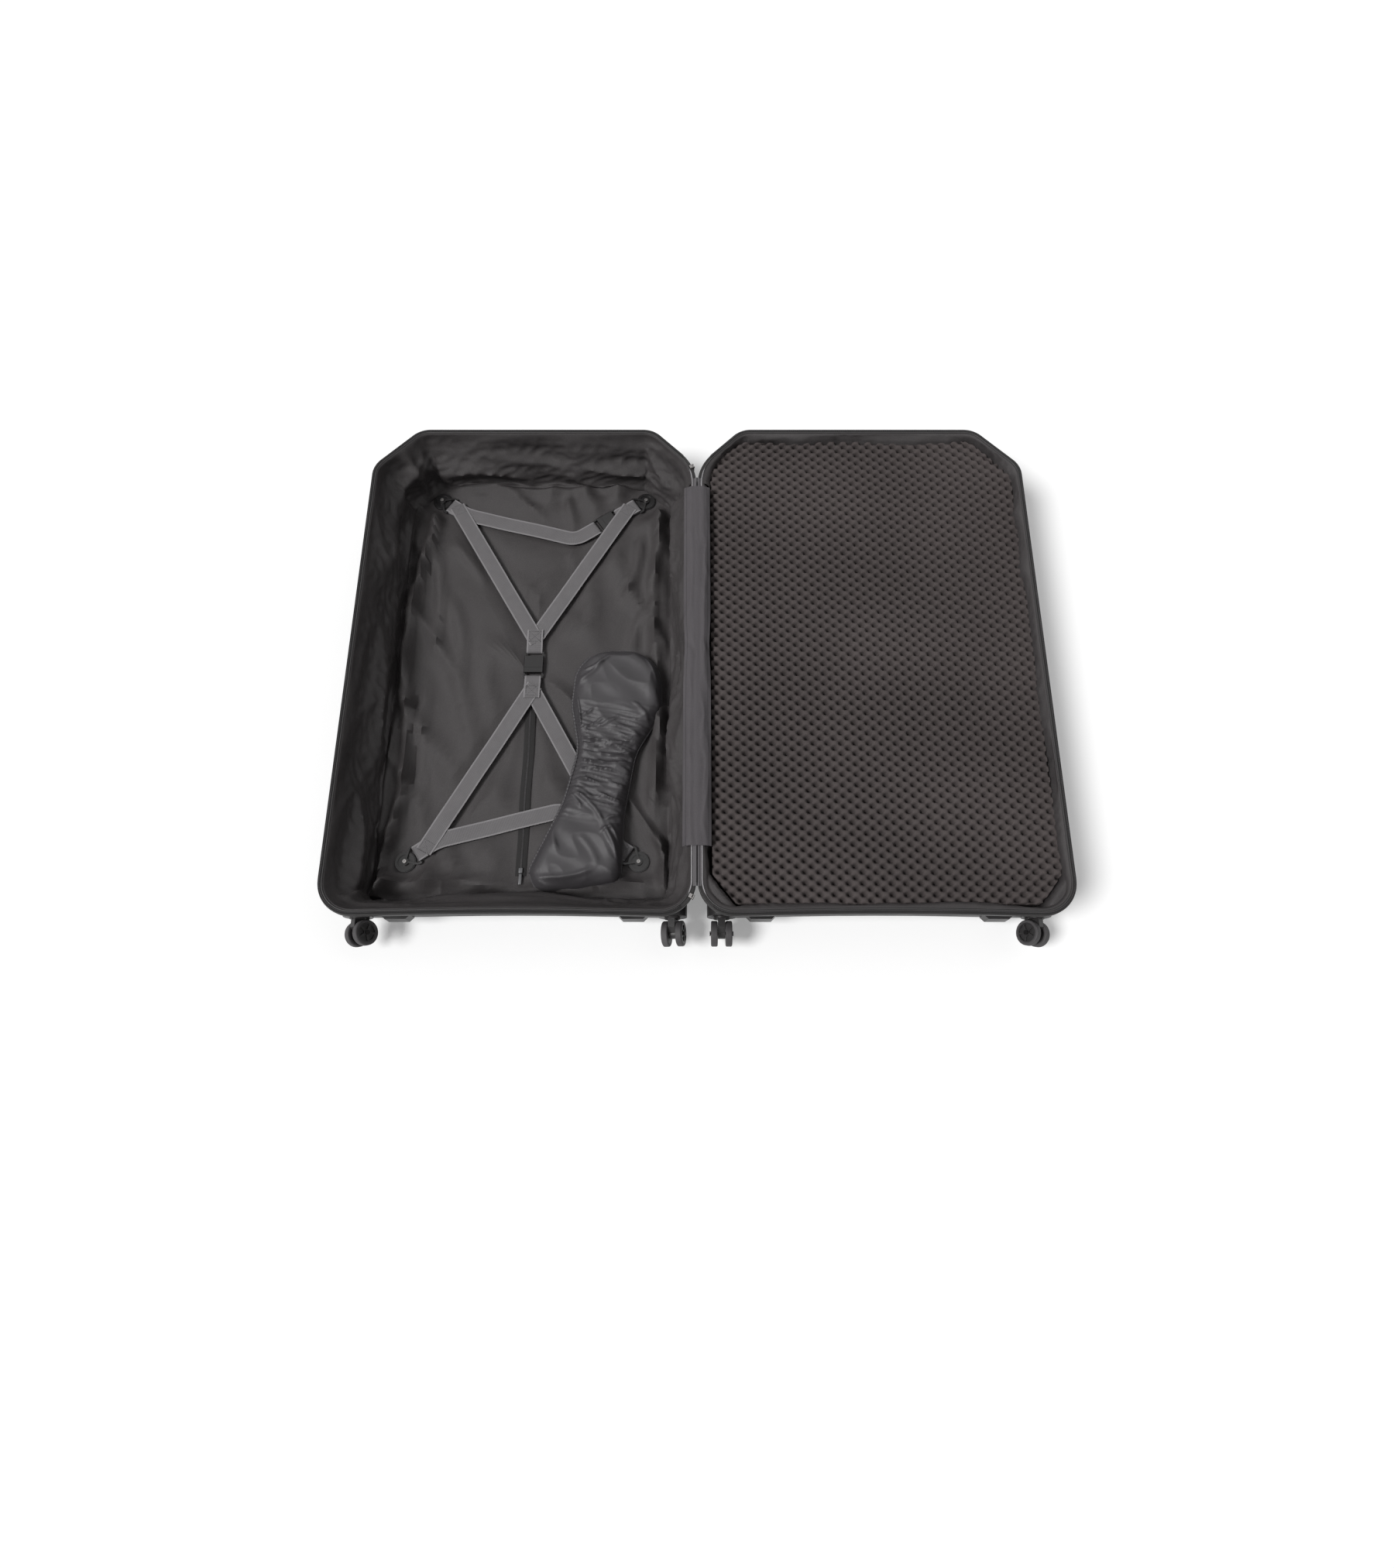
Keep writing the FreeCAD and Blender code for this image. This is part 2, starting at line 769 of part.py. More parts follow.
def foot_places():
    """The base's feet in X, just clear of the circles that its casters sweep."""
    reach = caster_sweep + foot_clearance + foot_length / 2
    return caster_from_side + reach - half_width, -caster_from_hinge - reach


def skid_foot(x, envelope):
    """A bevelled runner that stands proud of the near wall, just inside the rim's edge."""
    half = foot_length / 2
    front = y_near + foot_behind_rim
    outline = [
        Vector(x - half + foot_bevel, front, 0),
        Vector(x + half - foot_bevel, front, 0),
        Vector(x + half, front + foot_bevel, 0),
        Vector(x + half, y_near + wall_reach, 0),
        Vector(x - half, y_near + wall_reach, 0),
        Vector(x - half, front + foot_bevel, 0),
    ]
    block = prism(Part.makePolygon(outline + outline[:1]), foot_width)
    block = placed(block, 0, 0, caster_height - foot_width / 2)
    return block.cut(envelope)


def handle_bail():
    """A hanging bail with stub pins, its pivot along X through the origin."""
    half = handle_grip / 2
    r = handle_bar / 2
    grip = box(-half, half, -r, r, -handle_drop - r, -handle_drop + r)
    arms = [box(side * half - r, side * half + r, -r, r, -handle_drop - r, r) for side in (-1, 1)]
    bail = grip.fuse(arms).removeSplitter()
    bail = bail.makeFillet(edge_round, bail.Edges)
    reach = half + r + handle_pin_length
    pins = [rod(handle_pin_radius, Vector(s * half, 0, 0), Vector(s * reach, 0, 0)) for s in (-1, 1)]
    return bail.fuse(pins).removeSplitter()


def handle_bracket(side):
    """A bearing block for one stub pin, reaching back into the wall."""
    start = side * (handle_grip / 2 + handle_bar / 2 + face_gap)
    x0, x1 = sorted((start, start + side * bracket_length))
    front = bracket_edge - handle_inset
    block = box(x0, x1, front, wall_reach, -bracket_height / 2, bracket_height / 2)
    pin_end = start + side * (handle_pin_length + face_gap)
    bore = rod(handle_pin_radius + running_gap, Vector(start, 0, 0), Vector(pin_end, 0, 0))
    return block.cut(bore)


def handle_places():
    """Where the far and the long-side handle pivot, with the turn that faces them outwards."""
    far = Placement(Vector(base_mid, y_far - handle_inset, handle_height), Rotation(UP, 180))
    side = Placement(Vector(-half_width + handle_inset, y_mid, handle_height), Rotation(UP, -90))
    return far, side


# Zip sliders


def slider_places():
    """Where the sliders park on the base's rim at the hinge's two ends, with the way they face."""
    centre = Vector(-hinge_gap - corner_radius, y_near + corner_radius, 0)
    near = along(centre, -slider_angle, corner_radius)
    turn = math.atan2(chamfer_across, chamfer_along) / 2
    corner = Vector(-hinge_gap, y_far - chamfer_along, 0)
    far = corner - Vector(math.cos(turn), math.sin(turn), 0) * hinge_blend * (1 / math.cos(turn) - 1)
    return (near, -slider_angle), (far, math.degrees(turn))


def pull_rod(radius, half):
    """A rod along the pull's pin, that far to each side."""
    return rod(radius, Vector(pull_x, -half, pull_z), Vector(pull_x, half, pull_z))


def zip_slider():
    """A slider body with two ears; +X points out over the rim's edge at X = 0."""
    half = slider_width / 2
    back = -slider_inset - slider_length / 2
    body = box(back, back + slider_length, -half, half, 0, slider_height)
    body = body.makeFillet(bead_round / 2, level_edges(body, slider_height))
    slot = pull_width / 2 + pull_pin_gap
    body = body.cut(box(slot_start, slider_length, -slot, slot, 0, slider_height))
    return body.fuse(pull_rod(pull_pin_radius, half)).removeSplitter()


def zip_pull():
    """The pull tab that hangs from the slider's pin."""
    half = pull_width / 2
    thick = pull_thickness / 2
    bore = pull_pin_radius + pull_pin_gap
    tab = box(pull_x - thick, pull_x + thick, -half, half, pull_z - pull_length, pull_z)
    return pull_rod(bore + thick, half).fuse(tab).cut(pull_rod(bore, half)).removeSplitter()


# Drivetrain cover


def drivetrain_cover():
    """A stuffed cloth cover with a round head, a waist and a broad foot."""
    corners = [(x, y_near + y, r) for x, y, r in cover_points]
    bag = prism(rounded_wire(corners, cover_bottom), cover_thickness)
    rims = level_edges(bag, cover_bottom) + level_edges(bag, cover_bottom + cover_thickness)
    return bag.makeFillet(min(cover_round, cover_thickness / 3), rims)


def build_shells():
    envelope = shell_envelope()
    shell = shell_half(envelope)
    trim = {
        "shell": shell,
        "zip_tape": zip_tape(),
        "piping": piping(),
        "liner": liner(),
        "hinge_band": hinge_band(),
    }
    for name, shape in trim.items():
        add("base_" + name, shape)
        add("lid_" + name, mirrored(shape))
    add("hinge_welt", hinge_welt())
    add("hinge_flap", hinge_flap())
    add("foam_pad", foam_pad())
    return envelope


def build_near_end(envelope):
    """Casters and skid feet, on the base and on the lid."""
    spots = dict(caster_places())
    base_bosses = [caster_boss(spots[n], envelope) for n in ("base_outer", "base_inner")]
    feet = [skid_foot(x, envelope) for x in foot_places()]
    add("base_caster_bosses", *base_bosses)
    add("lid_caster_bosses", *[mirrored(b) for b in base_bosses])
    add("base_skid_feet", *feet)
    add("lid_skid_feet", *[mirrored(f) for f in feet])
    for name, x in caster_places():
        add(name + "_fork", set_caster(caster_fork(), name, x))
        add(name + "_axle", set_caster(caster_axle(), name, x))
        for side, label in ((-1, "left"), (1, "right")):
            hub, tyre = caster_wheel(side)
            add(f"{name}_{label}_hub", set_caster(hub, name, x))
            add(f"{name}_{label}_tyre", set_caster(tyre, name, x))


def build_handles(envelope):
    brackets = []
    for name, place in zip(("far_handle", "side_handle"), handle_places()):
        add(name, placed_at(handle_bail(), place))
        for side in (-1, 1):
            brackets.append(placed_at(handle_bracket(side), place).cut(envelope))
    add("handle_brackets", *brackets)


def build_zip_sliders():
    for name, (place, angle) in zip(("near", "far"), slider_places()):
        add(f"zip_slider_{name}", placed(zip_slider(), place.x, place.y, shell_depth, angle))
        add(f"zip_pull_{name}", placed(zip_pull(), place.x, place.y, shell_depth, angle))


def build_straps():
    spots = anchors()
    far_left, far_right, near_left, near_right = spots
    add("anchor_discs", *[placed(anchor_disc(), x, y, floor_z) for x, y, _ in spots])
    add("anchor_loops", *[placed(anchor_loop(), x, y, loop_z, a) for x, y, a in spots])
    add("anchor_screws", *[placed(anchor_screw(), x, y, floor_z) for x, y, _ in spots])
    sockets = []
    for name, left, right in (("top", far_left, far_right), ("bottom", near_left, near_right)):
        short, long, mate, angle = side_strap(left, right)
        add(name + "_strap", short, long)
        sockets.append(placed(buckle_socket(), mate.x, mate.y, bar_z, angle))
        add(name + "_buckle_plug", placed(buckle_plug(), mate.x, mate.y, bar_z, angle))
    mate = Vector(base_mid, strap_mid, 0)
    add("cross_strap_upper", cross_half((far_left, far_right), mate, 90, socket_reach))
    add("cross_strap_lower", cross_half((near_left, near_right), mate, -90, plug_reach))
    sockets.append(placed(buckle_socket(), mate.x, mate.y, cross_bar_z, -90))
    add("centre_buckle_plug", placed(buckle_plug(), mate.x, mate.y, cross_bar_z, -90))
    add("buckle_sockets", *sockets)


def main():
    envelope = build_shells()
    build_near_end(envelope)
    build_handles(envelope)
    build_zip_sliders()
    build_straps()
    add("drivetrain_cover", drivetrain_cover())
    os.makedirs("parts", exist_ok=True)
    for name, shape in parts.items():
        shape.exportStep(f"parts/{name}.step")


main()
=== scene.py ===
import math

import bpy
import numpy as np
from bpy.props import FloatProperty, FloatVectorProperty, PointerProperty
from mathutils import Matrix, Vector


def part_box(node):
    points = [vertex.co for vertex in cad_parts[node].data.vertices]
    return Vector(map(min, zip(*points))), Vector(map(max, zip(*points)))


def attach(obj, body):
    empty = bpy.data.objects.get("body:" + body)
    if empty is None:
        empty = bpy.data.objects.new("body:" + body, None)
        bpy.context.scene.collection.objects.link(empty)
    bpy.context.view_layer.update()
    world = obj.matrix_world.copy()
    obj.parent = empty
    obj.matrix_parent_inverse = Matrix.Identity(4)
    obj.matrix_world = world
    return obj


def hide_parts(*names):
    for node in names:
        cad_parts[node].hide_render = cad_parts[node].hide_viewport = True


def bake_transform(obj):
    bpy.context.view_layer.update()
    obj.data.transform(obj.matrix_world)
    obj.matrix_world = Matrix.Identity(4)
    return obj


bl_info = {
    "name": "Bike travel case",
    "version": (1, 0, 0),
    "blender": (4, 5, 0),
    "location": "View3D > Sidebar > Travel case",
    "description": "Dresses the travel case's frame with cloth, foam, webbing, zips and finishes",
    "category": "Object",
}

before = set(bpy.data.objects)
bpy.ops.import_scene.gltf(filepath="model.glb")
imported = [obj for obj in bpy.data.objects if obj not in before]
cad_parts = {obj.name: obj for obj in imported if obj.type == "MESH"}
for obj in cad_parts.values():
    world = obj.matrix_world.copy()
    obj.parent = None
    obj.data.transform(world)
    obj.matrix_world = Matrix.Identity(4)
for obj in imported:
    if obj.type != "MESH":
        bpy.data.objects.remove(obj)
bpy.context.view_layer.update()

MM = 0.001
SHELL_LOW, SHELL_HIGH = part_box("base_shell")
Y_NEAR, Y_FAR = SHELL_LOW[1], SHELL_HIGH[1]
RIM_Z = SHELL_HIGH[2]
RIM_LEFT, RIM_RIGHT = SHELL_LOW[0], SHELL_HIGH[0]
BASE_MID = (RIM_LEFT + RIM_RIGHT) / 2
Y_MID = (Y_NEAR + Y_FAR) / 2
FLOOR_Z = 10.3 * MM
LIP_Z = RIM_Z + 0.0005
CHAMFER = 0.105
FOAM_CUT_ALONG, FOAM_CUT_ACROSS = 0.064, 0.050

# The rim's corners on the base half as (x, y, round), from the far end of the hinge side
RIM_CORNERS = (
    (RIM_RIGHT, Y_FAR - CHAMFER, 0.120),
    (RIM_RIGHT - CHAMFER, Y_FAR, 0.060),
    (RIM_LEFT + CHAMFER, Y_FAR, 0.060),
    (RIM_LEFT, Y_FAR - CHAMFER, 0.060),
    (RIM_LEFT, Y_NEAR, 0.075),
    (BASE_MID, Y_NEAR + 0.008, 8.0),
    (RIM_RIGHT, Y_NEAR, 0.075),
)

# Strap anchors as (x, y, direction of the loop in degrees)
FAR_ANCHOR_Y, NEAR_ANCHOR_Y = Y_FAR - 0.0980, Y_NEAR + 0.1520
ANCHOR_REACH = 0.2605
STRAP_MID = (FAR_ANCHOR_Y + NEAR_ANCHOR_Y) / 2
ANCHORS = {
    "far_left": (BASE_MID - ANCHOR_REACH, FAR_ANCHOR_Y, -34.0),
    "far_right": (BASE_MID + ANCHOR_REACH, FAR_ANCHOR_Y, -146.0),
    "near_left": (BASE_MID - ANCHOR_REACH, NEAR_ANCHOR_Y, 34.0),
    "near_right": (BASE_MID + ANCHOR_REACH, NEAR_ANCHOR_Y, 146.0),
}
LOOP_LENGTH = 0.030
TAIL_LENGTH = 0.052
SOCKET_REACH = 0.042
PLUG_REACH = 0.0244
CENTRE_WEB = 0.034
BAR_Z = 0.0170
CROSS_BAR_Z = 0.02055
WRAP_RADIUS = 0.00315
LEG_Z = 0.0220
TURN_IN = 0.062

# The zip in the base's floor cloth
FLOOR_ZIP_X, FLOOR_ZIP_Y = -0.392, (Y_NEAR + 0.118, Y_NEAR + 0.540)

# The drivetrain cover's edge as (x from the hinge, y from the near rim, round)
COVER_EDGE = (
    (-0.352, 0.068, 0.042),
    (-0.166, 0.100, 0.026),
    (-0.163, 0.250, 0.300),
    (-0.140, 0.400, 0.150),
    (-0.080, 0.505, 0.070),
    (-0.086, 0.662, 0.085),
    (-0.282, 0.662, 0.085),
    (-0.292, 0.520, 0.070),
    (-0.272, 0.410, 0.150),
    (-0.302, 0.280, 0.300),
    (-0.372, 0.124, 0.034),
)
COVER_LOW = 0.0249


def length_prop(name, description, default):
    return FloatProperty(name=name, description=description, default=default, min=0.0, unit="LENGTH")


def share_prop(name, description, default):
    return FloatProperty(name=name, description=description, default=default, min=0.0, max=2.0)


def power_prop(name, description, default):
    return FloatProperty(name=name, description=description, default=default, min=0.0)


def colour_prop(name, description, default):
    return FloatVectorProperty(
        name=name, description=description, default=default, subtype="COLOR", min=0.0, max=1.0
    )


class CaseSizes(bpy.types.PropertyGroup):
    """Sizes of the soft pieces and the small trim."""

    foam_pitch_across: length_prop("Foam pitch across", "Spacing of the foam's peaks across the lid", 0.030)
    foam_pitch_along: length_prop("Foam pitch along", "Spacing of the foam's peaks along the lid", 0.024)
    foam_relief: length_prop("Foam relief", "Height from the foam's pits to its peaks", 0.017)
    liner_slack: share_prop("Liner slack", "How strongly the liner's folds stand out", 1.0)
    web_width: length_prop("Web width", "Width of the strap webbing", 0.038)
    web_thickness: length_prop("Web thickness", "Thickness of the strap webbing", 0.0016)
    tooth_pitch: length_prop("Tooth pitch", "Spacing of the zip teeth", 0.0030)
    stitch_pitch: length_prop("Stitch pitch", "Spacing of the sewn stitches", 0.0045)


class CaseColours(bpy.types.PropertyGroup):
    """Colours of the case's finishes."""

    shell: colour_prop("Shell", "Black moulded shell", (0.020, 0.019, 0.019))
    fittings: colour_prop("Fittings", "Black moulded fittings", (0.024, 0.0225, 0.023))
    tyre: colour_prop("Tyre", "Dark grey wheel tyres", (0.056, 0.053, 0.055))
    tape: colour_prop("Zip tape", "Black zip tape", (0.022, 0.021, 0.021))
    teeth: colour_prop("Zip teeth", "Dark zip teeth", (0.058, 0.055, 0.057))
    piping: colour_prop("Piping", "Piping, silver along the hinge", (0.300, 0.290, 0.300))
    band: colour_prop("Hinge band", "Grey ribbed hinge bands", (0.128, 0.121, 0.127))
    welt: colour_prop("Welt", "Dark hinge welt", (0.018, 0.017, 0.018))
    flap: colour_prop("Flap", "Grey flap over the hinge", (0.078, 0.072, 0.077))
    liner: colour_prop("Liner", "Charcoal liner cloth", (0.045, 0.041, 0.0415))
    foam: colour_prop("Foam", "Charcoal egg-crate foam", (0.078, 0.067, 0.066))
    webbing: colour_prop("Webbing", "Grey strap webbing", (0.152, 0.146, 0.150))
    cover: colour_prop("Cover", "Black nylon cover", (0.047, 0.044, 0.047))
    screw: colour_prop("Screw", "Dull screw heads", (0.26, 0.25, 0.245))
    thread: colour_prop("Thread", "Stitching thread", (0.070, 0.066, 0.069))


class StageSettings(bpy.types.PropertyGroup):
    """Camera, light and floor."""

    lens: FloatProperty(name="Lens", description="Focal length in mm", default=21.51, min=5.0)
    camera_back: length_prop("Camera back", "Distance of the camera in front of the near rim", 0.366)
    camera_height: length_prop("Camera height", "Height of the camera over the floor", 2.049)
    camera_tilt: FloatProperty(
        name="Camera tilt",
        description="Tilt up from straight down",
        default=math.radians(19.0),
        subtype="ANGLE",
    )
    key_power: power_prop("Key light", "Strength of the key light in W/m2", 2.90)
    fill_power: power_prop("Fill light", "Strength of the fill light in W/m2", 0.34)
    ambient: share_prop("Ambient", "Strength of the even light from all sides", 0.17)


# Selection, modifiers and placing


def deselect_all():
    if bpy.context.object and bpy.context.object.mode != "OBJECT":
        bpy.ops.object.mode_set(mode="OBJECT")
    bpy.ops.object.select_all(action="DESELECT")


def pick(piece):
    """Make a piece the only selected and the active object."""
    deselect_all()
    piece.select_set(True)
    bpy.context.view_layer.objects.active = piece


def named(name):
    """Name the piece that was just added and return it."""
    piece = bpy.context.object
    piece.name = piece.data.name = name
    return piece


def apply_modifier(piece, kind, **settings):
    pick(piece)
    bpy.ops.object.modifier_add(type=kind)
    modifier = piece.modifiers[-1]
    for key, value in settings.items():
        setattr(modifier, key, value)
    bpy.ops.object.modifier_apply(modifier=modifier.name)


def edit_all(piece, *steps):
    """Run edit-mode steps on the whole mesh of a piece."""
    pick(piece)
    bpy.ops.object.mode_set(mode="EDIT")
    bpy.ops.mesh.select_all(action="SELECT")
    for step in steps:
        step()
    bpy.ops.object.mode_set(mode="OBJECT")


def face_outwards():
    bpy.ops.mesh.normals_make_consistent(inside=False)


def merge_close():
    bpy.ops.mesh.remove_doubles(threshold=1e-5)


def smooth(piece, angle):
    pick(piece)
    bpy.ops.object.shade_smooth_by_angle(angle=math.radians(angle))


def join(pieces, name):
    deselect_all()
    for piece in pieces:
        piece.select_set(True)
    bpy.context.view_layer.objects.active = pieces[0]
    if len(pieces) > 1:
        bpy.ops.object.join()
    return named(name)


def mirror_copy(piece, name):
    """A copy of a base piece on the lid's side of the hinge."""
    pick(piece)
    bpy.ops.object.duplicate()
    copy = named(name)
    copy.scale.x = -1.0
    bpy.ops.object.transform_apply(location=False, rotation=False, scale=True)
    edit_all(copy, bpy.ops.mesh.flip_normals)
    return copy


def dress(piece, finish, body):
    """Give a finished piece its material and its body, unless it is given none, as for a piece that bends
    between two.
    """
    piece.data.materials.clear()
    piece.data.materials.append(finish)
    if body:
        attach(piece, body)


def points_of(piece):
    flat = np.empty(len(piece.data.vertices) * 3)
    piece.data.vertices.foreach_get("co", flat)
    return flat.reshape(-1, 3)


def set_points(piece, points):
    piece.data.vertices.foreach_set("co", np.ascontiguousarray(points, dtype=float).ravel())
    piece.data.update()


# Outlines and smooth fields

ARC_COUNT = 12
RIM_LEAST_ROUND = 0.014
NOISE_WAVES = 9


def offset_corners(corners, inset):
    """Move every side of a polygon inwards and return its new corners with their rounds."""
    count = len(corners)
    lines = []
    for i in range(count):
        x0, y0, _ = corners[i]
        x1, y1, _ = corners[(i + 1) % count]
        run = math.hypot(x1 - x0, y1 - y0)
        dx, dy = (x1 - x0) / run, (y1 - y0) / run
        lines.append((x0 - dy * inset, y0 + dx * inset, dx, dy))
    moved = []
    for i in range(count):
        ax, ay, adx, ady = lines[i - 1]
        bx, by, bdx, bdy = lines[i]
        cross = adx * bdy - ady * bdx
        t = ((bx - ax) * bdy - (by - ay) * bdx) / cross
        turn = 1 if cross > 0 else -1
        moved.append((ax + adx * t, ay + ady * t, corners[i][2] - turn * inset))
    return moved


def rounded_outline(corners, counts, least):
    """Points along straight sides and tangent arcs, in the same number for any inset."""
    count = len(corners)
    arcs = []
    for i in range(count):
        before = Vector(corners[i][:2]) - Vector(corners[i - 1][:2])
        after = Vector(corners[(i + 1) % count][:2]) - Vector(corners[i][:2])
        before.normalize()
        after.normalize()
        half_turn = before.angle(after) / 2
        radius = max(corners[i][2], least)
        corner = Vector(corners[i][:2])
        centre = corner + (after - before).normalized() * radius / math.cos(half_turn)
        first = corner - before * radius * math.tan(half_turn) - centre
        last = corner + after * radius * math.tan(half_turn) - centre
        turn = 2 * half_turn
        arc = []
        for k in range(ARC_COUNT + 1):
            t = k / ARC_COUNT
            bend = first * math.sin((1 - t) * turn) + last * math.sin(t * turn)
            arc.append(centre + bend / math.sin(turn))
        arcs.append(arc)
    outline = []
    for i in range(count):
        outline.extend(arcs[i])
        start, stop = arcs[i][-1], arcs[(i + 1) % count][0]
        for k in range(1, counts[i]):
            outline.append(start.lerp(stop, k / counts[i]))
    return np.array([(p.x, p.y) for p in outline])


def side_counts(corners, step):
    counts = []
    for i in range(len(corners)):
        x0, y0, _ = corners[i]
        x1, y1, _ = corners[(i + 1) % len(corners)]
        counts.append(max(2, round(math.hypot(x1 - x0, y1 - y0) / step)))
    return counts


def rim_outline(inset, step=0.010):
    """The base rim's edge moved inwards, from the far end of the hinge side round to it again."""
    corners = offset_corners(RIM_CORNERS, inset)
    return rounded_outline(corners, side_counts(RIM_CORNERS, step), RIM_LEAST_ROUND)


def step_lengths(points):
    return np.linalg.norm(np.diff(points, axis=0), axis=1)


def run_along(points):
    """Distance along a path at each of its points."""
    return np.concatenate([[0.0], np.cumsum(step_lengths(points))])


def unit_rows(vectors):
    return vectors / np.linalg.norm(vectors, axis=1)[:, None]


def edge_distance(points, outline):
    """Distance of each point to a closed outline."""
    runs = np.roll(outline, -1, axis=0) - outline
    squares = np.maximum((runs**2).sum(1), 1e-12)
    best = np.full(len(points), np.inf)
    for start, run, square in zip(outline, runs, squares):
        t = np.clip(((points - start) @ run) / square, 0, 1)
        gap = points - start - t[:, None] * run
        best = np.minimum(best, (gap**2).sum(1))
    return np.sqrt(best)


def row_spans(outline, rows):
    """Left and right edge of a closed outline at each of the given heights."""
    left, right = np.full(len(rows), np.inf), np.full(len(rows), -np.inf)
    after = np.roll(outline, -1, axis=0)
    for (x0, y0), (x1, y1) in zip(outline, after):
        low, high = min(y0, y1), max(y0, y1)
        hit = (rows >= low - 1e-9) & (rows <= high + 1e-9)
        if high - low < 1e-9:
            xs = np.array([min(x0, x1), max(x0, x1)])
            left[hit], right[hit] = np.minimum(left[hit], xs[0]), np.maximum(right[hit], xs[1])
            continue
        x = x0 + (x1 - x0) * (rows[hit] - y0) / (y1 - y0)
        left[hit], right[hit] = np.minimum(left[hit], x), np.maximum(right[hit], x)
    return left, right


def soft_noise(x, y, scale, seed):
    """Smooth repeatable noise between -1 and 1, with bumps about scale wide."""
    rng = np.random.default_rng(seed)
    value = np.zeros_like(x)
    for _ in range(NOISE_WAVES):
        turn = rng.uniform(0, 2 * math.pi)
        pitch = scale * rng.uniform(0.75, 1.6)
        phase = rng.uniform(0, 2 * math.pi)
        across = (x * math.cos(turn) + y * math.sin(turn)) / pitch
        drift = 0.8 * np.sin((x * math.sin(turn) - y * math.cos(turn)) / pitch / 2.3 + phase)
        value += np.sin(2 * math.pi * across + phase + drift)
    return np.clip(value / (NOISE_WAVES / 2), -1, 1)


def smoothstep(low, high, value):
    t = np.clip((value - low) / (high - low), 0, 1)
    return t * t * (3 - 2 * t)


def fold_ridge(x, y, start, stop, width, height, bow=0.0):
    """A soft ridge between two points that fades towards its ends."""
    start, stop = np.array(start), np.array(stop)
    run = stop - start
    length = math.hypot(*run)
    along = ((x - start[0]) * run[0] + (y - start[1]) * run[1]) / length**2
    side = ((y - start[1]) * run[0] - (x - start[0]) * run[1]) / length
    side = side - bow * np.sin(math.pi * np.clip(along, 0, 1))
    fade = smoothstep(-0.08, 0.22, along) * (1 - smoothstep(0.78, 1.08, along))
    return height * fade * np.exp(-((side / width) ** 2))


# Grid pieces

BLOCK_TAPER = 0.75


def grid_piece(name, columns, rows, place):
    """A grid primitive whose points go to place(u, v), with u across and v along from 0 to 1."""
    deselect_all()
    bpy.ops.mesh.primitive_grid_add(x_subdivisions=columns, y_subdivisions=rows, size=2.0)
    piece = named(name)
    flat = points_of(piece)
    u, v = flat[:, 0] / 2 + 0.5, flat[:, 1] / 2 + 0.5
    set_points(piece, np.stack(place(u, v), axis=1))
    return piece


def scale_uv(piece, across, along):
    """Stretch a grid's UV map to metres, so a weave keeps its size."""
    layer = piece.data.uv_layers.active.data
    flat = np.empty(len(layer) * 2)
    layer.foreach_get("uv", flat)
    flat[0::2] *= across
    flat[1::2] *= along
    layer.foreach_set("uv", flat)


def swept_band(name, outline_at, profile, keep):
    """A band whose cross-section, as (inset, z), follows part of a family of outlines."""
    rings = []
    for inset, z in profile:
        outline = outline_at(inset)[keep]
        rings.append(np.column_stack([outline, np.full(len(outline), z)]))
    rings = np.array(rings)
    rows, count = rings.shape[1] - 1, len(profile) - 1

    def place(u, v):
        i, j = np.rint(u * count).astype(int), np.rint(v * rows).astype(int)
        return rings[i, j].T

    piece = grid_piece(name, count, rows, place)
    scale_uv(piece, abs(profile[-1][0] - profile[0][0]), step_lengths(rings[0]).sum())
    return piece


def path_curve(points):
    """A plain curve through points, for rows of repeated pieces to follow."""
    data = bpy.data.curves.new("row_path", "CURVE")
    data.dimensions = "3D"
    data.twist_mode = "Z_UP"
    spline = data.splines.new("POLY")
    spline.points.add(len(points) - 1)
    for spot, point in zip(spline.points, points):
        spot.co = (*point, 1.0)
    path = bpy.data.objects.new("row_path", data)
    bpy.context.collection.objects.link(path)
    return path


def block_piece(name, size):
    """A block of a size, with its middle at the origin."""
    deselect_all()
    bpy.ops.mesh.primitive_cube_add(size=1.0)
    block = named(name)
    set_points(block, points_of(block) * np.array(size))
    return block


def row_along(name, points, pitch, size):
    """A row of small blunt blocks, one every pitch along a path."""
    path = path_curve(points)
    row = block_piece(name, size)
    block = points_of(row)
    block[block[:, 2] > 0, :2] *= BLOCK_TAPER
    block[:, 2] += size[2] / 2
    set_points(row, block)
    apply_modifier(
        row,
        "ARRAY",
        use_relative_offset=False,
        use_constant_offset=True,
        constant_offset_displace=(pitch, 0, 0),
        count=max(2, int(step_lengths(np.array(points)).sum() / pitch)),
    )
    apply_modifier(row, "CURVE", object=path, deform_axis="POS_X")
    bpy.data.objects.remove(path)
    return row


def stitches(name, points):
    pitch = bpy.context.scene.case_sizes.stitch_pitch
    return row_along(name, points, pitch, (pitch * 0.62, 0.0009, 0.0005))


def close_below(piece, scale, centre):
    """Extrude a sheet's open edge, scale the new edge about a centre and cap it."""
    edit_all(
        piece,
        merge_close,
        lambda: bpy.ops.mesh.select_all(action="DESELECT"),
        bpy.ops.mesh.select_non_manifold,
        bpy.ops.mesh.extrude_edges_move,
        lambda: bpy.ops.transform.resize(value=scale, center_override=centre),
        bpy.ops.mesh.edge_face_add,
    )
    edit_all(piece, face_outwards)


# Shader pieces


def add_node(tree, kind, inputs=None, **settings):
    """Add a node; inputs take a value, or a socket to link from."""
    node = tree.nodes.new(kind)
    node.location = (200 * (len(tree.nodes) % 12), -220 * (len(tree.nodes) // 12))
    for key, value in settings.items():
        setattr(node, key, value)
    for key, value in (inputs or {}).items():
        socket = node.inputs[key]
        if isinstance(value, bpy.types.NodeSocket):
            tree.links.new(value, socket)
        else:
            socket.default_value = value
    return node


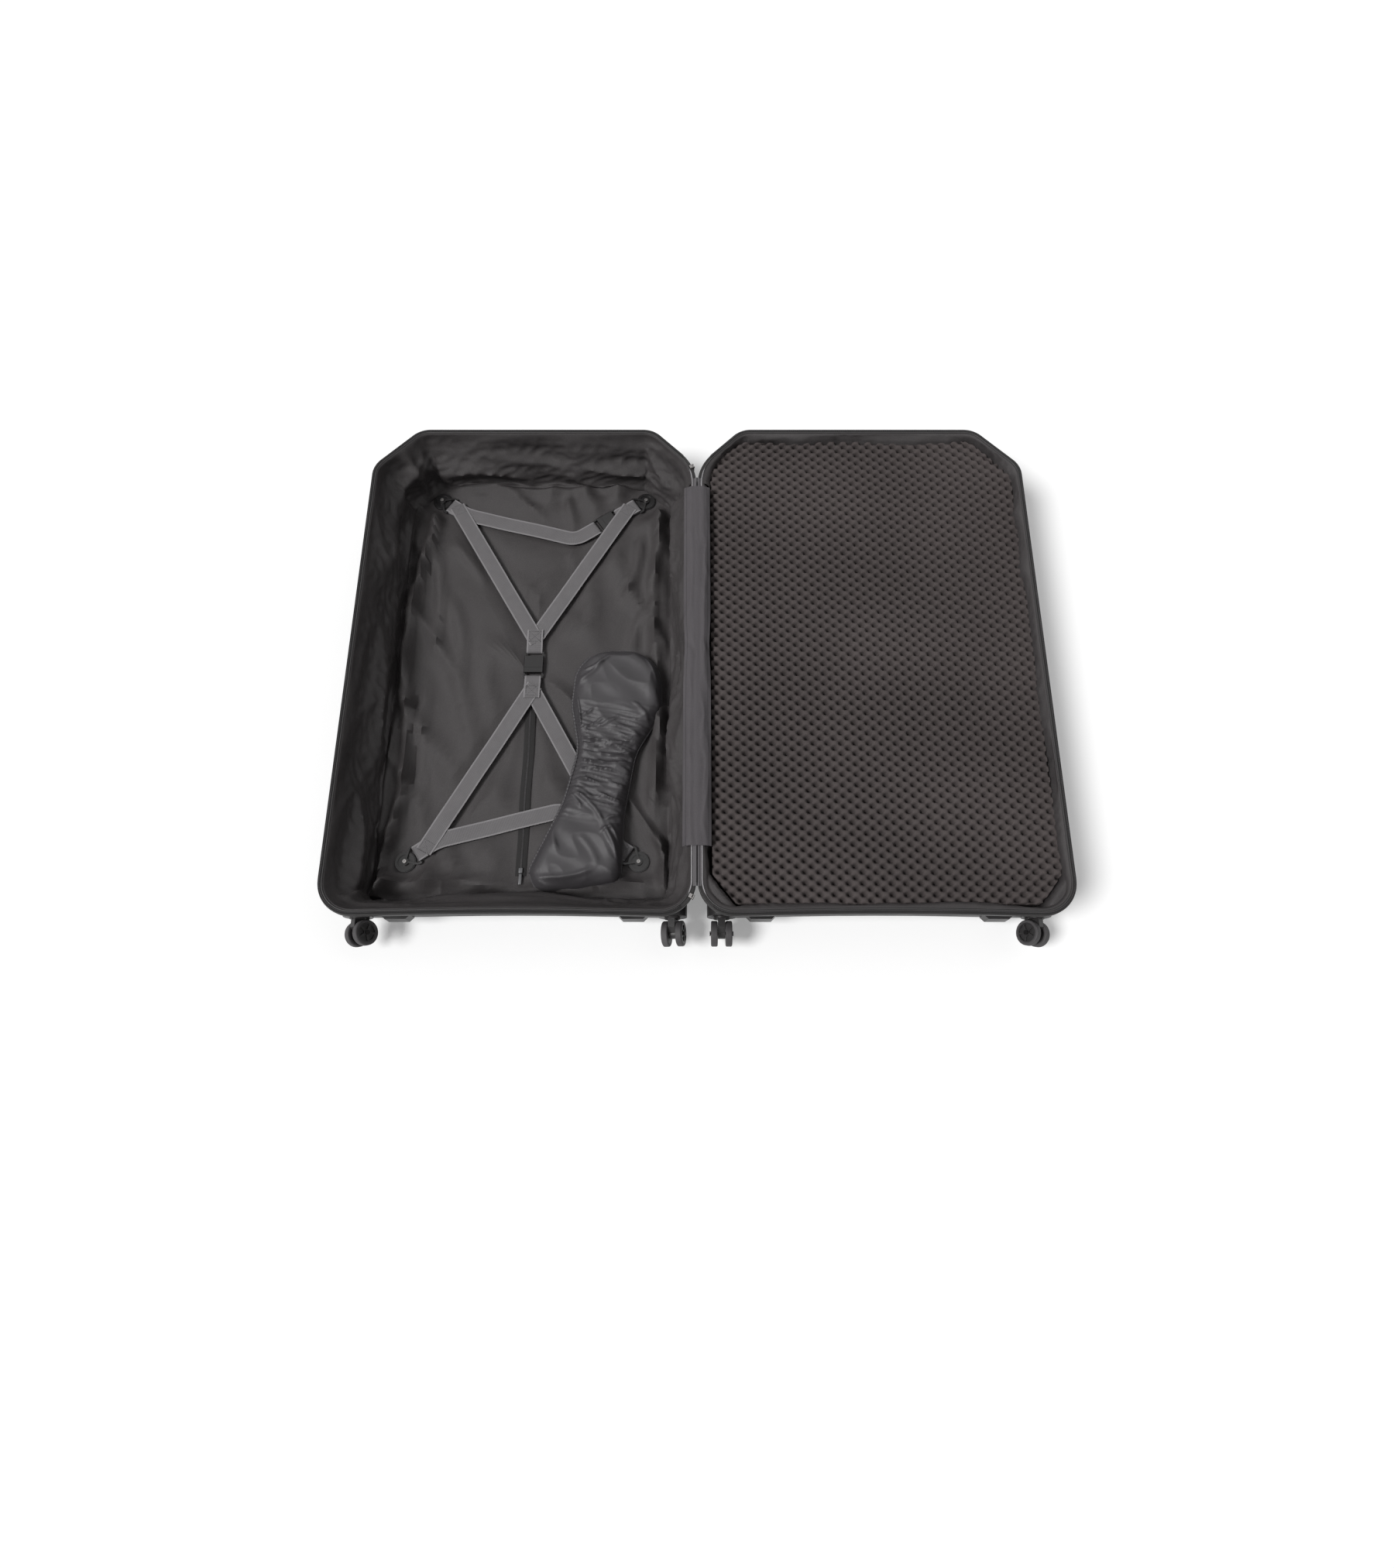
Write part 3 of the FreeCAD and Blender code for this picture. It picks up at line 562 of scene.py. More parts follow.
def calc(tree, operation, a, b=0.0, clamp=False):
    return add_node(tree, "ShaderNodeMath", {0: a, 1: b}, operation=operation, use_clamp=clamp).outputs[0]


def blend_colour(tree, share, a, b):
    node = add_node(tree, "ShaderNodeMix", {0: share, 6: a, 7: b}, data_type="RGBA")
    return node.outputs[2]


def spread(tree, value, low, high):
    """Map 0..1 to low..high."""
    return add_node(tree, "ShaderNodeMapRange", {0: value, 3: low, 4: high}).outputs[0]


def new_group(name, inputs, outputs):
    """An empty shader group with float or vector inputs and float outputs."""
    group = bpy.data.node_groups.new(name, "ShaderNodeTree")
    for socket, default in inputs.items():
        kind = "NodeSocketVector" if default is None else "NodeSocketFloat"
        made = group.interface.new_socket(socket, in_out="INPUT", socket_type=kind)
        if default is not None:
            made.default_value = default
    for socket in outputs:
        group.interface.new_socket(socket, in_out="OUTPUT", socket_type="NodeSocketFloat")
    start = group.nodes.new("NodeGroupInput")
    stop = group.nodes.new("NodeGroupOutput")
    return group, start.outputs, stop.inputs


def weave_group():
    """Over-and-under threads, with slubs that vary their shade."""
    if "Woven threads" in bpy.data.node_groups:
        return bpy.data.node_groups["Woven threads"]
    inputs = {"Vector": None, "Pitch": 0.001}
    group, given, out = new_group("Woven threads", inputs, ("Height", "Slub", "Fleck"))
    axes = split_axes(group, given["Vector"])
    turn = calc(group, "DIVIDE", 2 * math.pi, given["Pitch"])
    rise = calc(group, "MULTIPLY", axes["Z"], 0.62)
    warp = calc(group, "SINE", calc(group, "MULTIPLY", calc(group, "ADD", axes["X"], rise), turn))
    weft = calc(group, "SINE", calc(group, "MULTIPLY", calc(group, "ADD", axes["Y"], rise), turn))
    cross = calc(group, "MULTIPLY", warp, weft)
    height = calc(group, "ADD", calc(group, "MULTIPLY", cross, 0.5), 0.5)
    group.links.new(spread(group, height, 0.0, 1.0), out["Height"])
    slub = add_node(group, "ShaderNodeTexNoise", {"Vector": given["Vector"], "Scale": 26.0, "Detail": 5.0})
    group.links.new(slub.outputs[0], out["Slub"])
    fleck = add_node(group, "ShaderNodeTexNoise", {"Vector": given["Vector"], "Scale": 430.0, "Detail": 2.0})
    group.links.new(ramp(group, fleck.outputs[0], 0.32, 0.68), out["Fleck"])
    return group


def grain_group():
    """The fine pebble of moulded plastic, with soft handling marks."""
    if "Moulded grain" in bpy.data.node_groups:
        return bpy.data.node_groups["Moulded grain"]
    group, given, out = new_group("Moulded grain", {"Vector": None, "Scale": 900.0}, ("Height", "Marks"))
    pebble = add_node(group, "ShaderNodeTexVoronoi", {"Vector": given["Vector"], "Scale": given["Scale"]})
    group.links.new(pebble.outputs[0], out["Height"])
    marks = add_node(group, "ShaderNodeTexNoise", {"Vector": given["Vector"], "Scale": 14.0, "Detail": 6.0})
    group.links.new(ramp(group, marks.outputs[0], 0.46, 0.78), out["Marks"])
    return group


def new_finish(name, colour, roughness, **constants):
    """A material with its Principled shader and object coordinates, ready for its pattern."""
    finish = bpy.data.materials.new(name)
    finish.use_nodes = True
    tree = finish.node_tree
    shader = tree.nodes["Principled BSDF"]
    shader.inputs["Base Color"].default_value = (*colour, 1.0)
    shader.inputs["Roughness"].default_value = roughness
    for key, value in constants.items():
        shader.inputs[key.replace("_", " ")].default_value = value
    place = add_node(tree, "ShaderNodeTexCoord")
    return finish, tree, shader, place.outputs["Object"]


def use_group(tree, group, inputs):
    return add_node(tree, "ShaderNodeGroup", inputs, node_tree=group).outputs


def ramp(tree, value, low, high):
    """Map low..high to 0..1."""
    return add_node(tree, "ShaderNodeMapRange", {0: value, 1: low, 2: high}).outputs[0]


def ribs(tree, value, pitch):
    """Waves between 0 and 1, one every pitch."""
    wave = calc(tree, "SINE", calc(tree, "MULTIPLY", value, 2 * math.pi / pitch))
    return calc(tree, "ADD", calc(tree, "MULTIPLY", wave, 0.5), 0.5)


def split_axes(tree, vector):
    return add_node(tree, "ShaderNodeSeparateXYZ", {0: vector}).outputs


def seen_rays(tree):
    """1 for what the camera sees directly, in a reflection or through glass."""
    path = add_node(tree, "ShaderNodeLightPath").outputs
    bent = calc(tree, "MAXIMUM", path["Is Glossy Ray"], path["Is Transmission Ray"])
    return calc(tree, "MAXIMUM", path["Is Camera Ray"], bent)


def paint(tree, shader, colour):
    tree.links.new(colour, shader.inputs["Base Color"])


def vary_gloss(tree, shader, share, low, high):
    tree.links.new(spread(tree, share, low, high), shader.inputs["Roughness"])


def bump(tree, shader, height, strength, distance):
    node = add_node(tree, "ShaderNodeBump", {"Strength": strength, "Distance": distance, "Height": height})
    tree.links.new(node.outputs[0], shader.inputs["Normal"])


def tint(colour, factor):
    return (*(min(1.0, c * factor) for c in colour), 1.0)


def cloth_finish(name, colour, pitch, roughness, contrast=0.22, depth=0.00035, sheen=0.0, gloss=0.15):
    """A woven cloth: threads in relief, slubs in its shade and its gloss."""
    finish, tree, shader, place = new_finish(
        name, colour, roughness, Sheen_Weight=sheen, Sheen_Roughness=0.45, Specular_IOR_Level=gloss
    )
    weave = use_group(tree, weave_group(), {"Vector": place, "Pitch": pitch})
    yarns = calc(tree, "MULTIPLY", calc(tree, "ADD", weave["Height"], weave["Fleck"]), 0.32)
    shade = calc(tree, "ADD", yarns, calc(tree, "MULTIPLY", weave["Slub"], 0.36))
    mixed = blend_colour(tree, shade, tint(colour, 1 - contrast), tint(colour, 1 + contrast))
    paint(tree, shader, mixed)
    vary_gloss(tree, shader, weave["Slub"], roughness - 0.07, roughness + 0.07)
    bump(tree, shader, weave["Height"], 0.6, depth)
    return finish


def moulded_finish(name, colour, roughness, grain=900.0, depth=0.0002, wear=1.7, gloss=0.35):
    """Moulded plastic or rubber: fine pebble and slightly paler handled places."""
    finish, tree, shader, place = new_finish(name, colour, roughness, Specular_IOR_Level=gloss)
    grain_out = use_group(tree, grain_group(), {"Vector": place, "Scale": grain})
    mixed = blend_colour(tree, grain_out["Marks"], tint(colour, 0.9), tint(colour, wear))
    paint(tree, shader, mixed)
    vary_gloss(tree, shader, grain_out["Marks"], roughness - 0.06, roughness + 0.12)
    bump(tree, shader, grain_out["Height"], 0.5, depth)
    return finish


def ribbed_finish(name, colour, roughness, pitch, axis):
    """A tape with ribs along one axis, over the weave."""
    finish, tree, shader, place = new_finish(name, colour, roughness, Specular_IOR_Level=0.25)
    axes = split_axes(tree, place)
    rib = ribs(tree, axes[axis], pitch)
    weave = use_group(tree, weave_group(), {"Vector": place, "Pitch": 0.0011})
    mixed = blend_colour(tree, rib, tint(colour, 0.62), tint(colour, 1.25))
    paint(tree, shader, mixed)
    relief = calc(tree, "ADD", rib, calc(tree, "MULTIPLY", weave["Height"], 0.3))
    vary_gloss(tree, shader, weave["Slub"], roughness - 0.08, roughness + 0.08)
    bump(tree, shader, relief, 0.7, 0.0006)
    return finish


def flap_finish(colour, thread, width):
    """Twill with a row of stitches along each hem, on a UV map in metres."""
    finish = cloth_finish("flap_twill", colour, 0.0013, 0.56, contrast=0.26, gloss=0.22)
    tree = finish.node_tree
    shader = tree.nodes["Principled BSDF"]
    axes = split_axes(tree, add_node(tree, "ShaderNodeUVMap").outputs[0])
    off_middle = calc(tree, "ABSOLUTE", calc(tree, "SUBTRACT", axes["X"], width / 2))
    off_seam = calc(tree, "ABSOLUTE", calc(tree, "SUBTRACT", off_middle, width / 2 - 0.0065))
    on_seam = calc(tree, "LESS_THAN", off_seam, 0.0007)
    wave = calc(tree, "SINE", calc(tree, "MULTIPLY", axes["Y"], 2 * math.pi / 0.0045))
    dash = calc(tree, "GREATER_THAN", wave, -0.3)
    cloth = shader.inputs["Base Color"].links[0].from_socket
    mixed = blend_colour(tree, calc(tree, "MULTIPLY", on_seam, dash), cloth, (*thread, 1.0))
    paint(tree, shader, mixed)
    return finish


def piping_finish(colour, away):
    """Piping that is silver beside the hinge and black round the rest of the rim."""
    finish, tree, shader, place = new_finish("rim_piping", colour, 0.4, Specular_IOR_Level=0.3)
    axes = split_axes(tree, place)
    off = calc(tree, "ABSOLUTE", axes["X"])
    share = ramp(tree, off, 0.015, 0.019)
    weave = use_group(tree, weave_group(), {"Vector": place, "Pitch": 0.0012})
    silver = blend_colour(tree, weave["Slub"], tint(colour, 0.8), tint(colour, 1.2))
    paint(tree, shader, blend_colour(tree, share, silver, tint(away, 2.0)))
    bump(tree, shader, weave["Height"], 0.5, 0.0002)
    return finish


def webbing_finish(colour, width):
    """Strap webbing on its UV map in metres: cross ribs, lengthwise yarns and a painted highlight along both
    edges.
    """
    finish, tree, shader, _ = new_finish("strap_webbing", colour, 0.62, Specular_IOR_Level=0.2)
    uv = add_node(tree, "ShaderNodeUVMap")
    axes = split_axes(tree, uv.outputs[0])
    rib = ribs(tree, axes["Y"], 0.0021)
    yarns = ribs(tree, axes["X"], 0.0034)
    off_middle = calc(tree, "ABSOLUTE", calc(tree, "SUBTRACT", axes["X"], width / 2))
    # Painted highlight: the colour grows paler towards both edges of the web.
    edge = ramp(tree, off_middle, width / 2 - 0.0042, width / 2 - 0.0026)
    noise = {"Vector": uv.outputs[0], "Scale": 40.0, "Detail": 4.0}
    soil = add_node(tree, "ShaderNodeTexNoise", noise).outputs[0]
    pattern = calc(tree, "ADD", calc(tree, "MULTIPLY", rib, 0.45), calc(tree, "MULTIPLY", soil, 0.55))
    body = blend_colour(tree, pattern, tint(colour, 0.72), tint(colour, 1.18))
    mixed = blend_colour(tree, calc(tree, "MULTIPLY", edge, 0.75), body, tint(colour, 1.75))
    paint(tree, shader, mixed)
    bump(tree, shader, calc(tree, "ADD", rib, calc(tree, "MULTIPLY", yarns, 0.6)), 0.7, 0.0005)
    return finish


def foam_finish(colour, low, high):
    """Open-cell foam: tiny cells, with painted shade darkening the pits and painted light on the peaks, set
    by height.
    """
    finish, tree, shader, place = new_finish("egg_crate_foam", colour, 0.92, Specular_IOR_Level=0.05)
    axes = split_axes(tree, place)
    # Painted shade and light: the height ramp darkens the colour towards the pits and lightens it on the
    # peaks.
    rise = ramp(tree, axes["Z"], low, high)
    cells = add_node(tree, "ShaderNodeTexVoronoi", {"Vector": place, "Scale": 620.0}).outputs[0]
    dust = add_node(tree, "ShaderNodeTexNoise", {"Vector": place, "Scale": 9.0, "Detail": 5.0}).outputs[0]
    shade = calc(tree, "ADD", calc(tree, "MULTIPLY", rise, 0.72), calc(tree, "MULTIPLY", cells, 0.20))
    shade = calc(tree, "ADD", shade, calc(tree, "MULTIPLY", dust, 0.16), clamp=True)
    paint(tree, shader, blend_colour(tree, shade, tint(colour, 0.16), tint(colour, 1.25)))
    bump(tree, shader, cells, 0.5, 0.0006)
    return finish


def metal_finish(name, colour, roughness):
    finish, tree, shader, place = new_finish(name, colour, roughness, Metallic=1.0)
    grain_out = use_group(tree, grain_group(), {"Vector": place, "Scale": 1500.0})
    mixed = blend_colour(tree, grain_out["Marks"], tint(colour, 1.0), tint(colour, 0.72))
    paint(tree, shader, mixed)
    vary_gloss(tree, shader, grain_out["Marks"], roughness, roughness + 0.2)
    bump(tree, shader, grain_out["Height"], 0.25, 0.0001)
    return finish


def finish_nodes(finish, *names):
    """Put a finish on carried-over CAD nodes."""
    for name in names:
        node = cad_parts[name]
        if not node.material_slots:
            node.data.materials.append(finish)
        for slot in node.material_slots:
            slot.material = finish


class CASE_OT_fittings(bpy.types.Operator):
    """Finish the shells, casters, feet, handles, buckles, anchors and zip metal"""

    bl_idname = "case.fittings"
    bl_label = "Shells and fittings"

    def execute(self, context):
        colours = context.scene.case_colours
        shell = moulded_finish("shell_plastic", colours.shell, 0.5, grain=700.0, depth=0.0003, gloss=0.24)
        finish_nodes(shell, "base_shell", "lid_shell")
        black = moulded_finish("moulded_black", colours.fittings, 0.42)
        casters = ("base_outer", "base_inner", "lid_inner", "lid_outer")
        forks = [f"{caster}_fork" for caster in casters]
        hubs = [f"{caster}_{side}_hub" for caster in casters for side in ("left", "right")]
        finish_nodes(black, "base_caster_bosses", "lid_caster_bosses", *forks, *hubs)
        finish_nodes(black, "base_skid_feet", "lid_skid_feet", "far_handle", "side_handle", "handle_brackets")
        dark = tuple(c * 0.6 for c in colours.fittings)
        gloss = moulded_finish("buckle_plastic", dark, 0.3, wear=1.4, gloss=0.45)
        finish_nodes(gloss, "anchor_discs", "anchor_loops", "buckle_sockets")
        finish_nodes(gloss, "top_buckle_plug", "bottom_buckle_plug", "centre_buckle_plug")
        tyre = moulded_finish("tyre_rubber", colours.tyre, 0.68, grain=500.0)
        finish_nodes(tyre, *[f"{caster}_{side}_tyre" for caster in casters for side in ("left", "right")])
        bright = metal_finish("bright_screw", colours.screw, 0.4)
        finish_nodes(bright, "anchor_screws")
        blackened = metal_finish("blackened_axle", colours.fittings, 0.45)
        finish_nodes(blackened, *[f"{caster}_axle" for caster in casters])
        dull = metal_finish("zip_metal", colours.screw, 0.38)
        finish_nodes(dull, "zip_slider_near", "zip_slider_far", "zip_pull_near", "zip_pull_far")
        piping = piping_finish(colours.piping, colours.tape)
        finish_nodes(piping, "base_piping", "lid_piping")
        band = ribbed_finish("ribbed_hinge_band", colours.band, 0.55, 0.0026, "X")
        finish_nodes(band, "base_hinge_band", "lid_hinge_band")
        welt = cloth_finish("hinge_welt_cloth", colours.welt, 0.0012, 0.6)
        finish_nodes(welt, "hinge_welt")
        return {"FINISHED"}


class CASE_OT_zips(bpy.types.Operator):
    """Lay the zip tapes with their teeth and stitching round both rims"""

    bl_idname = "case.zips"
    bl_label = "Rim zips"

    def execute(self, context):
        colours, sizes = context.scene.case_colours, context.scene.case_sizes
        profile = (
            (1.0, 0.0), (1.0, 1.6), (1.3, 2.1), (1.8, 2.3), (2.3, 2.1), (2.6, 1.6), (2.9, 1.6),
            (3.1, 1.9), (5.5, 1.9), (5.7, 1.6), (6.0, 1.6), (6.3, 2.1), (6.8, 2.3), (7.3, 2.1),
            (7.6, 1.6), (7.6, 0.0),
        )
        profile = [(inset * MM, RIM_Z + rise * MM) for inset, rise in profile]
        middle = rim_outline(4.3 * MM)
        keep = np.flatnonzero(middle[:, 0] < -0.034)
        keep = np.arange(keep[0], keep[-1] + 1)
        tape = swept_band("base_zip_band", rim_outline, profile, keep)
        edit_all(tape, face_outwards)
        smooth(tape, 40)
        run = np.column_stack([middle[keep], np.full(len(keep), RIM_Z + 1.9 * MM)])
        pitch = sizes.tooth_pitch
        teeth = row_along("base_zip_teeth", run, pitch, (pitch * 0.52, 0.0024, 0.0015))
        seam = rim_outline(5.85 * MM)[keep]
        seam = np.column_stack([seam, np.full(len(keep), RIM_Z + 1.6 * MM)])
        thread = stitches("base_zip_stitches", seam)
        cloth = cloth_finish("zip_tape_cloth", colours.tape, 0.0010, 0.55, sheen=0.05)
        metal = moulded_finish("zip_teeth_moulded", colours.teeth, 0.35, grain=1500.0, depth=0.0001)
        yarn = cloth_finish("stitch_thread", colours.thread, 0.0004, 0.55)
        for piece, finish in ((tape, cloth), (teeth, metal), (thread, yarn)):
            copy = mirror_copy(piece, piece.name.replace("base_", "lid_"))
            dress(piece, finish, "base")
            dress(copy, finish, "lid")
        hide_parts("base_zip_tape")
        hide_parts("lid_zip_tape")
        return {"FINISHED"}


# Liners

FLOOR_EASE = 1.45
LINER_TOP = 0.1642
LINER_EDGE = 0.0128
LINER_FOOT = 0.0635
LIP_INSETS = (0.0103, 0.0117)
WALL_RINGS, FLOOR_RINGS = 34, 26


def liner_rings():
    """Rings from the piping over the rim's inner edge, down the wall and over the floor."""
    wall = [LINER_EDGE + (LINER_FOOT - LINER_EDGE) * k / WALL_RINGS for k in range(WALL_RINGS + 1)]
    rings = np.array([rim_outline(inset, 0.0065) for inset in (*LIP_INSETS, *wall)])
    centre = np.array([BASE_MID, Y_MID])
    shares = 1 - 0.97 * np.linspace(0, 1, FLOOR_RINGS + 1)[1:] ** FLOOR_EASE
    floor = np.array([centre + (rings[-1] - centre) * share for share in shares])
    rings = np.concatenate([rings, floor])
    return np.concatenate([rings, rings[:, :1]], axis=1)


def creased(x, y, scale, seed):
    """Noise with sharp ridges and broad hollows, as in slack cloth."""
    return 1 - 2.2 * np.abs(soft_noise(x, y, scale, seed))


def wall_swell(s, down, seed):
    """How far the loose wall cloth stands inwards: long slanting folds with finer ones between."""
    height = down * 0.17
    slant = s + 0.5 * height
    swell = 0.0062 * soft_noise(slant / 2.6, height, 0.11, seed)
    swell += 0.0060 * creased(slant / 3.0, height + 0.12 * s, 0.085, seed + 3)
    belly = 0.55 + 0.45 * soft_noise(s, height / 3, 0.42, seed + 9)
    swell += 0.0150 * belly * np.exp(-(((down - 0.52 - 0.12 * np.sin(s / 0.19)) / 0.20) ** 2))
    return swell + 0.0016 * creased(s / 1.4, height - 0.2 * s, 0.034, seed + 5)


def strap_lines():
    """The straps' runs in plan, which press the floor cloth down."""
    upper = np.array([BASE_MID, STRAP_MID + SOCKET_REACH + CENTRE_WEB])
    lower = np.array([BASE_MID, STRAP_MID - PLUG_REACH - CENTRE_WEB])
    lines = [(upper, lower), tuple(np.array([FLOOR_ZIP_X, y]) for y in FLOOR_ZIP_Y)]
    for row, knot in (("far", upper), ("near", lower)):
        left, right = np.array(ANCHORS[f"{row}_left"][:2]), np.array(ANCHORS[f"{row}_right"][:2])
        _, left_end, _ = tail_of(f"{row}_left")
        _, right_end, angle = tail_of(f"{row}_right")
        turn_in = right_end + heading(angle) * (SOCKET_REACH + PLUG_REACH + TURN_IN)
        lines += [(left, left_end), (left_end, turn_in), (turn_in, right)]
        lines += [(left_end, knot), (right_end, knot)]
    return lines


def strap_distance(x, y):
    """Distance of each point to the nearest strap's middle line in plan."""
    best = np.full(x.shape, np.inf)
    for start, stop in strap_lines():
        run = stop - start
        t = np.clip(((x - start[0]) * run[0] + (y - start[1]) * run[1]) / (run @ run), 0, 1)
        best = np.minimum(best, np.hypot(x - start[0] - t * run[0], y - start[1] - t * run[1]))
    return best


def floor_swell(x, y, seed):
    """Broad slanting folds of the loose floor cloth, from nothing up to about a finger's height."""
    slant = x * 0.8 + y * 0.6
    across = y * 0.8 - x * 0.6
    broad = 0.5 + 0.5 * soft_noise(slant / 1.2, across / 2.4, 0.17, seed)
    sharp = np.clip(creased(slant, across / 2.2, 0.21, seed + 2), 0, 1)
    return 0.010 * broad + 0.013 * sharp**1.4


def liner_place(slack, folds, pillows, roll, seed):
    """Where a liner's points lie, with its folds and the pillows pushed up in its corners."""
    rings = liner_rings()
    rows, columns = rings.shape[1] - 1, len(rings) - 1
    foot = WALL_RINGS + 2
    run = run_along(rings[2])
    inward = unit_rows(rings[foot] - rings[2])

    def place(u, v):
        i, j = np.rint(u * columns).astype(int), np.rint(v * rows).astype(int)
        x, y = rings[i, j, 0], rings[i, j, 1]
        down = np.clip((i - 2) / WALL_RINGS, 0, 1)
        past = np.clip((i - foot) / FLOOR_RINGS, 0, 1) ** FLOOR_EASE
        z = LINER_TOP - (LINER_TOP - FLOOR_Z) * (down + 0.05 * np.sin(math.pi * down))
        z = np.where(i < 2, LIP_Z, z)
        loose = slack * np.sin(math.pi * down) ** 0.7
        ridge = np.zeros_like(x)
        for start, stop, width, height, bow in folds:
            ridge += fold_ridge(x, y, start, stop, width, height, bow)
        swell = loose * (1.25 * wall_swell(run[j], down, seed) + 0.6 * ridge)
        x = x + inward[j, 0] * swell
        y = y + inward[j, 1] * swell
        z = z + 0.25 * swell
        on_floor = smoothstep(0.82, 1.0, down)
        slump = np.exp(-((past / 0.13) ** 2)) * 0.0060 * (1 + creased(x, y, 0.13, seed + 11))
        lift = ridge + slump + floor_swell(x, y, seed + 7) * smoothstep(0, 0.06, past)
        lift = lift * (0.10 + 0.90 * smoothstep(0.016, 0.060, strap_distance(x, y)))
        for anchor_x, anchor_y, _ in ANCHORS.values():
            lift = lift * smoothstep(0.026, 0.062, np.hypot(x - anchor_x, y - anchor_y))
        z = z + slack * on_floor * lift
        inset = LINER_EDGE + (LINER_FOOT - LINER_EDGE) * down
        rolled = LIP_Z - roll * ((inset - 0.0108) / 0.0098) ** 2
        z = np.where((roll > 0) & (i >= 2) & (inset < 0.0206), np.maximum(z, rolled), z)
        for corner_x, corner_y, across, along, top in pillows:
            out = (x - corner_x) * across + (y - corner_y) * along
            puff = top - 0.022 * (1 - np.clip(out / 0.016, 0, 1)) ** 2
            puff = puff + 0.002 * soft_noise(x, y, 0.05, seed + 13)
            z = np.maximum(z, z + smoothstep(-0.001, 0.005, out) * (puff - z))
        return x, y, np.maximum(z, FLOOR_Z)

    return place, columns, rows


def folds_from(*lines):
    """Folds from (x, y, x, y, width, height, bow) in mm, from the hinge and the near rim."""
    folds = []
    for x0, y0, x1, y1, *rest in lines:
        start, stop = (x0 * MM, Y_NEAR + y0 * MM), (x1 * MM, Y_NEAR + y1 * MM)
        folds.append((start, stop, *(value * MM for value in rest)))
    return folds


# The folds seen in the base's liner
BASE_FOLDS = folds_from(
    (-655, 1130, -680, 880, 13, 26, 8), (-676, 940, -690, 560, 13, 28, -8),
    (-690, 620, -672, 260, 13, 27, 9), (-672, 310, -694, 40, 13, 30, -6),
    (-650, 960, -628, 640, 12, 12, 10), (-640, 600, -622, 300, 12, 12, -9),
    (-712, 860, -700, 520, 8, 12, 4), (-704, 520, -712, 160, 8, 12, -4),
    (-600, 820, -560, 560, 14, 10, 12), (-728, 1150, -648, 1050, 12, 22, 8),
    (-690, 1152, -470, 1126, 13, 20, 5), (-500, 1124, -240, 1134, 13, 18, -5),
    (-260, 1140, -96, 1108, 12, 19, 6), (-600, 1110, -560, 1010, 11, 10, 5),
    (-330, 1120, -300, 1000, 11, 10, -6), (-742, 24, -640, 128, 12, 26, 9),
    (-620, 104, -430, 88, 13, 22, 5), (-440, 94, -250, 82, 13, 20, -5),
    (-260, 86, -104, 108, 12, 20, 5), (-590, 210, -520, 96, 12, 14, 6),
    (-84, 210, -70, 60, 11, 22, 4), (-96, 1070, -112, 830, 12, 22, 5),
    (-108, 850, -88, 560, 12, 20, -5), (-90, 560, -104, 250, 12, 20, 5),
    (-140, 1010, -176, 800, 12, 11, 7), (-130, 780, -160, 660, 11, 10, -5),
    (-128, 1120, -86, 1010, 11, 18, 4), (-480, 760, -330, 880, 16, 9, 8),
    (-520, 860, -600, 960, 14, 9, -6), (-300, 800, -220, 930, 14, 9, 7),
)

# Folds of the lid's liner, as if it lay on the base's side
LID_FOLDS = folds_from(
    (-62, 1080, -50, 760, 11, 12, 3), (-50, 800, -66, 480, 11, 10, -4),
    (-60, 500, -48, 180, 11, 12, 4), (-120, 1150, -420, 1178, 12, 9, 3),
    (-400, 1172, -660, 1160, 12, 10, -3), (-735, 1120, -716, 700, 12, 10, 5),
    (-718, 720, -738, 200, 12, 10, -5), (-700, 100, -380, 72, 11, 9, 3),
    (-400, 76, -90, 92, 11, 9, -3),
)


def fill_middle():
    """Close the small hole in the middle of a liner's floor."""
    bpy.ops.mesh.select_all(action="DESELECT")
    bpy.ops.mesh.select_non_manifold()
    mesh = bpy.context.object.data
    bpy.ops.object.mode_set(mode="OBJECT")
    for vertex in mesh.vertices:
        vertex.select = vertex.select and abs(vertex.co.x - BASE_MID) < 0.1 and abs(vertex.co.y - Y_MID) < 0.1
    for edge in mesh.edges:
        edge.select = all(mesh.vertices[i].select for i in edge.vertices) and edge.select
    bpy.ops.object.mode_set(mode="EDIT")
    bpy.ops.mesh.select_mode(type="EDGE")
    bpy.ops.mesh.edge_face_add()
    bpy.ops.mesh.select_mode(type="VERT")


def lined_half(name, slack, folds, pillows, roll, seed):
    place, columns, rows = liner_place(slack, folds, pillows, roll, seed)
    liner = grid_piece(name, columns, rows, place)
    edit_all(liner, merge_close, fill_middle)
    edit_all(liner, face_outwards)
    if sum(p.normal.z for p in liner.data.polygons) < 0:
        edit_all(liner, bpy.ops.mesh.flip_normals)
    apply_modifier(liner, "SOLIDIFY", thickness=0.0010, offset=-1.0)
    smooth(liner, 60)
    return liner


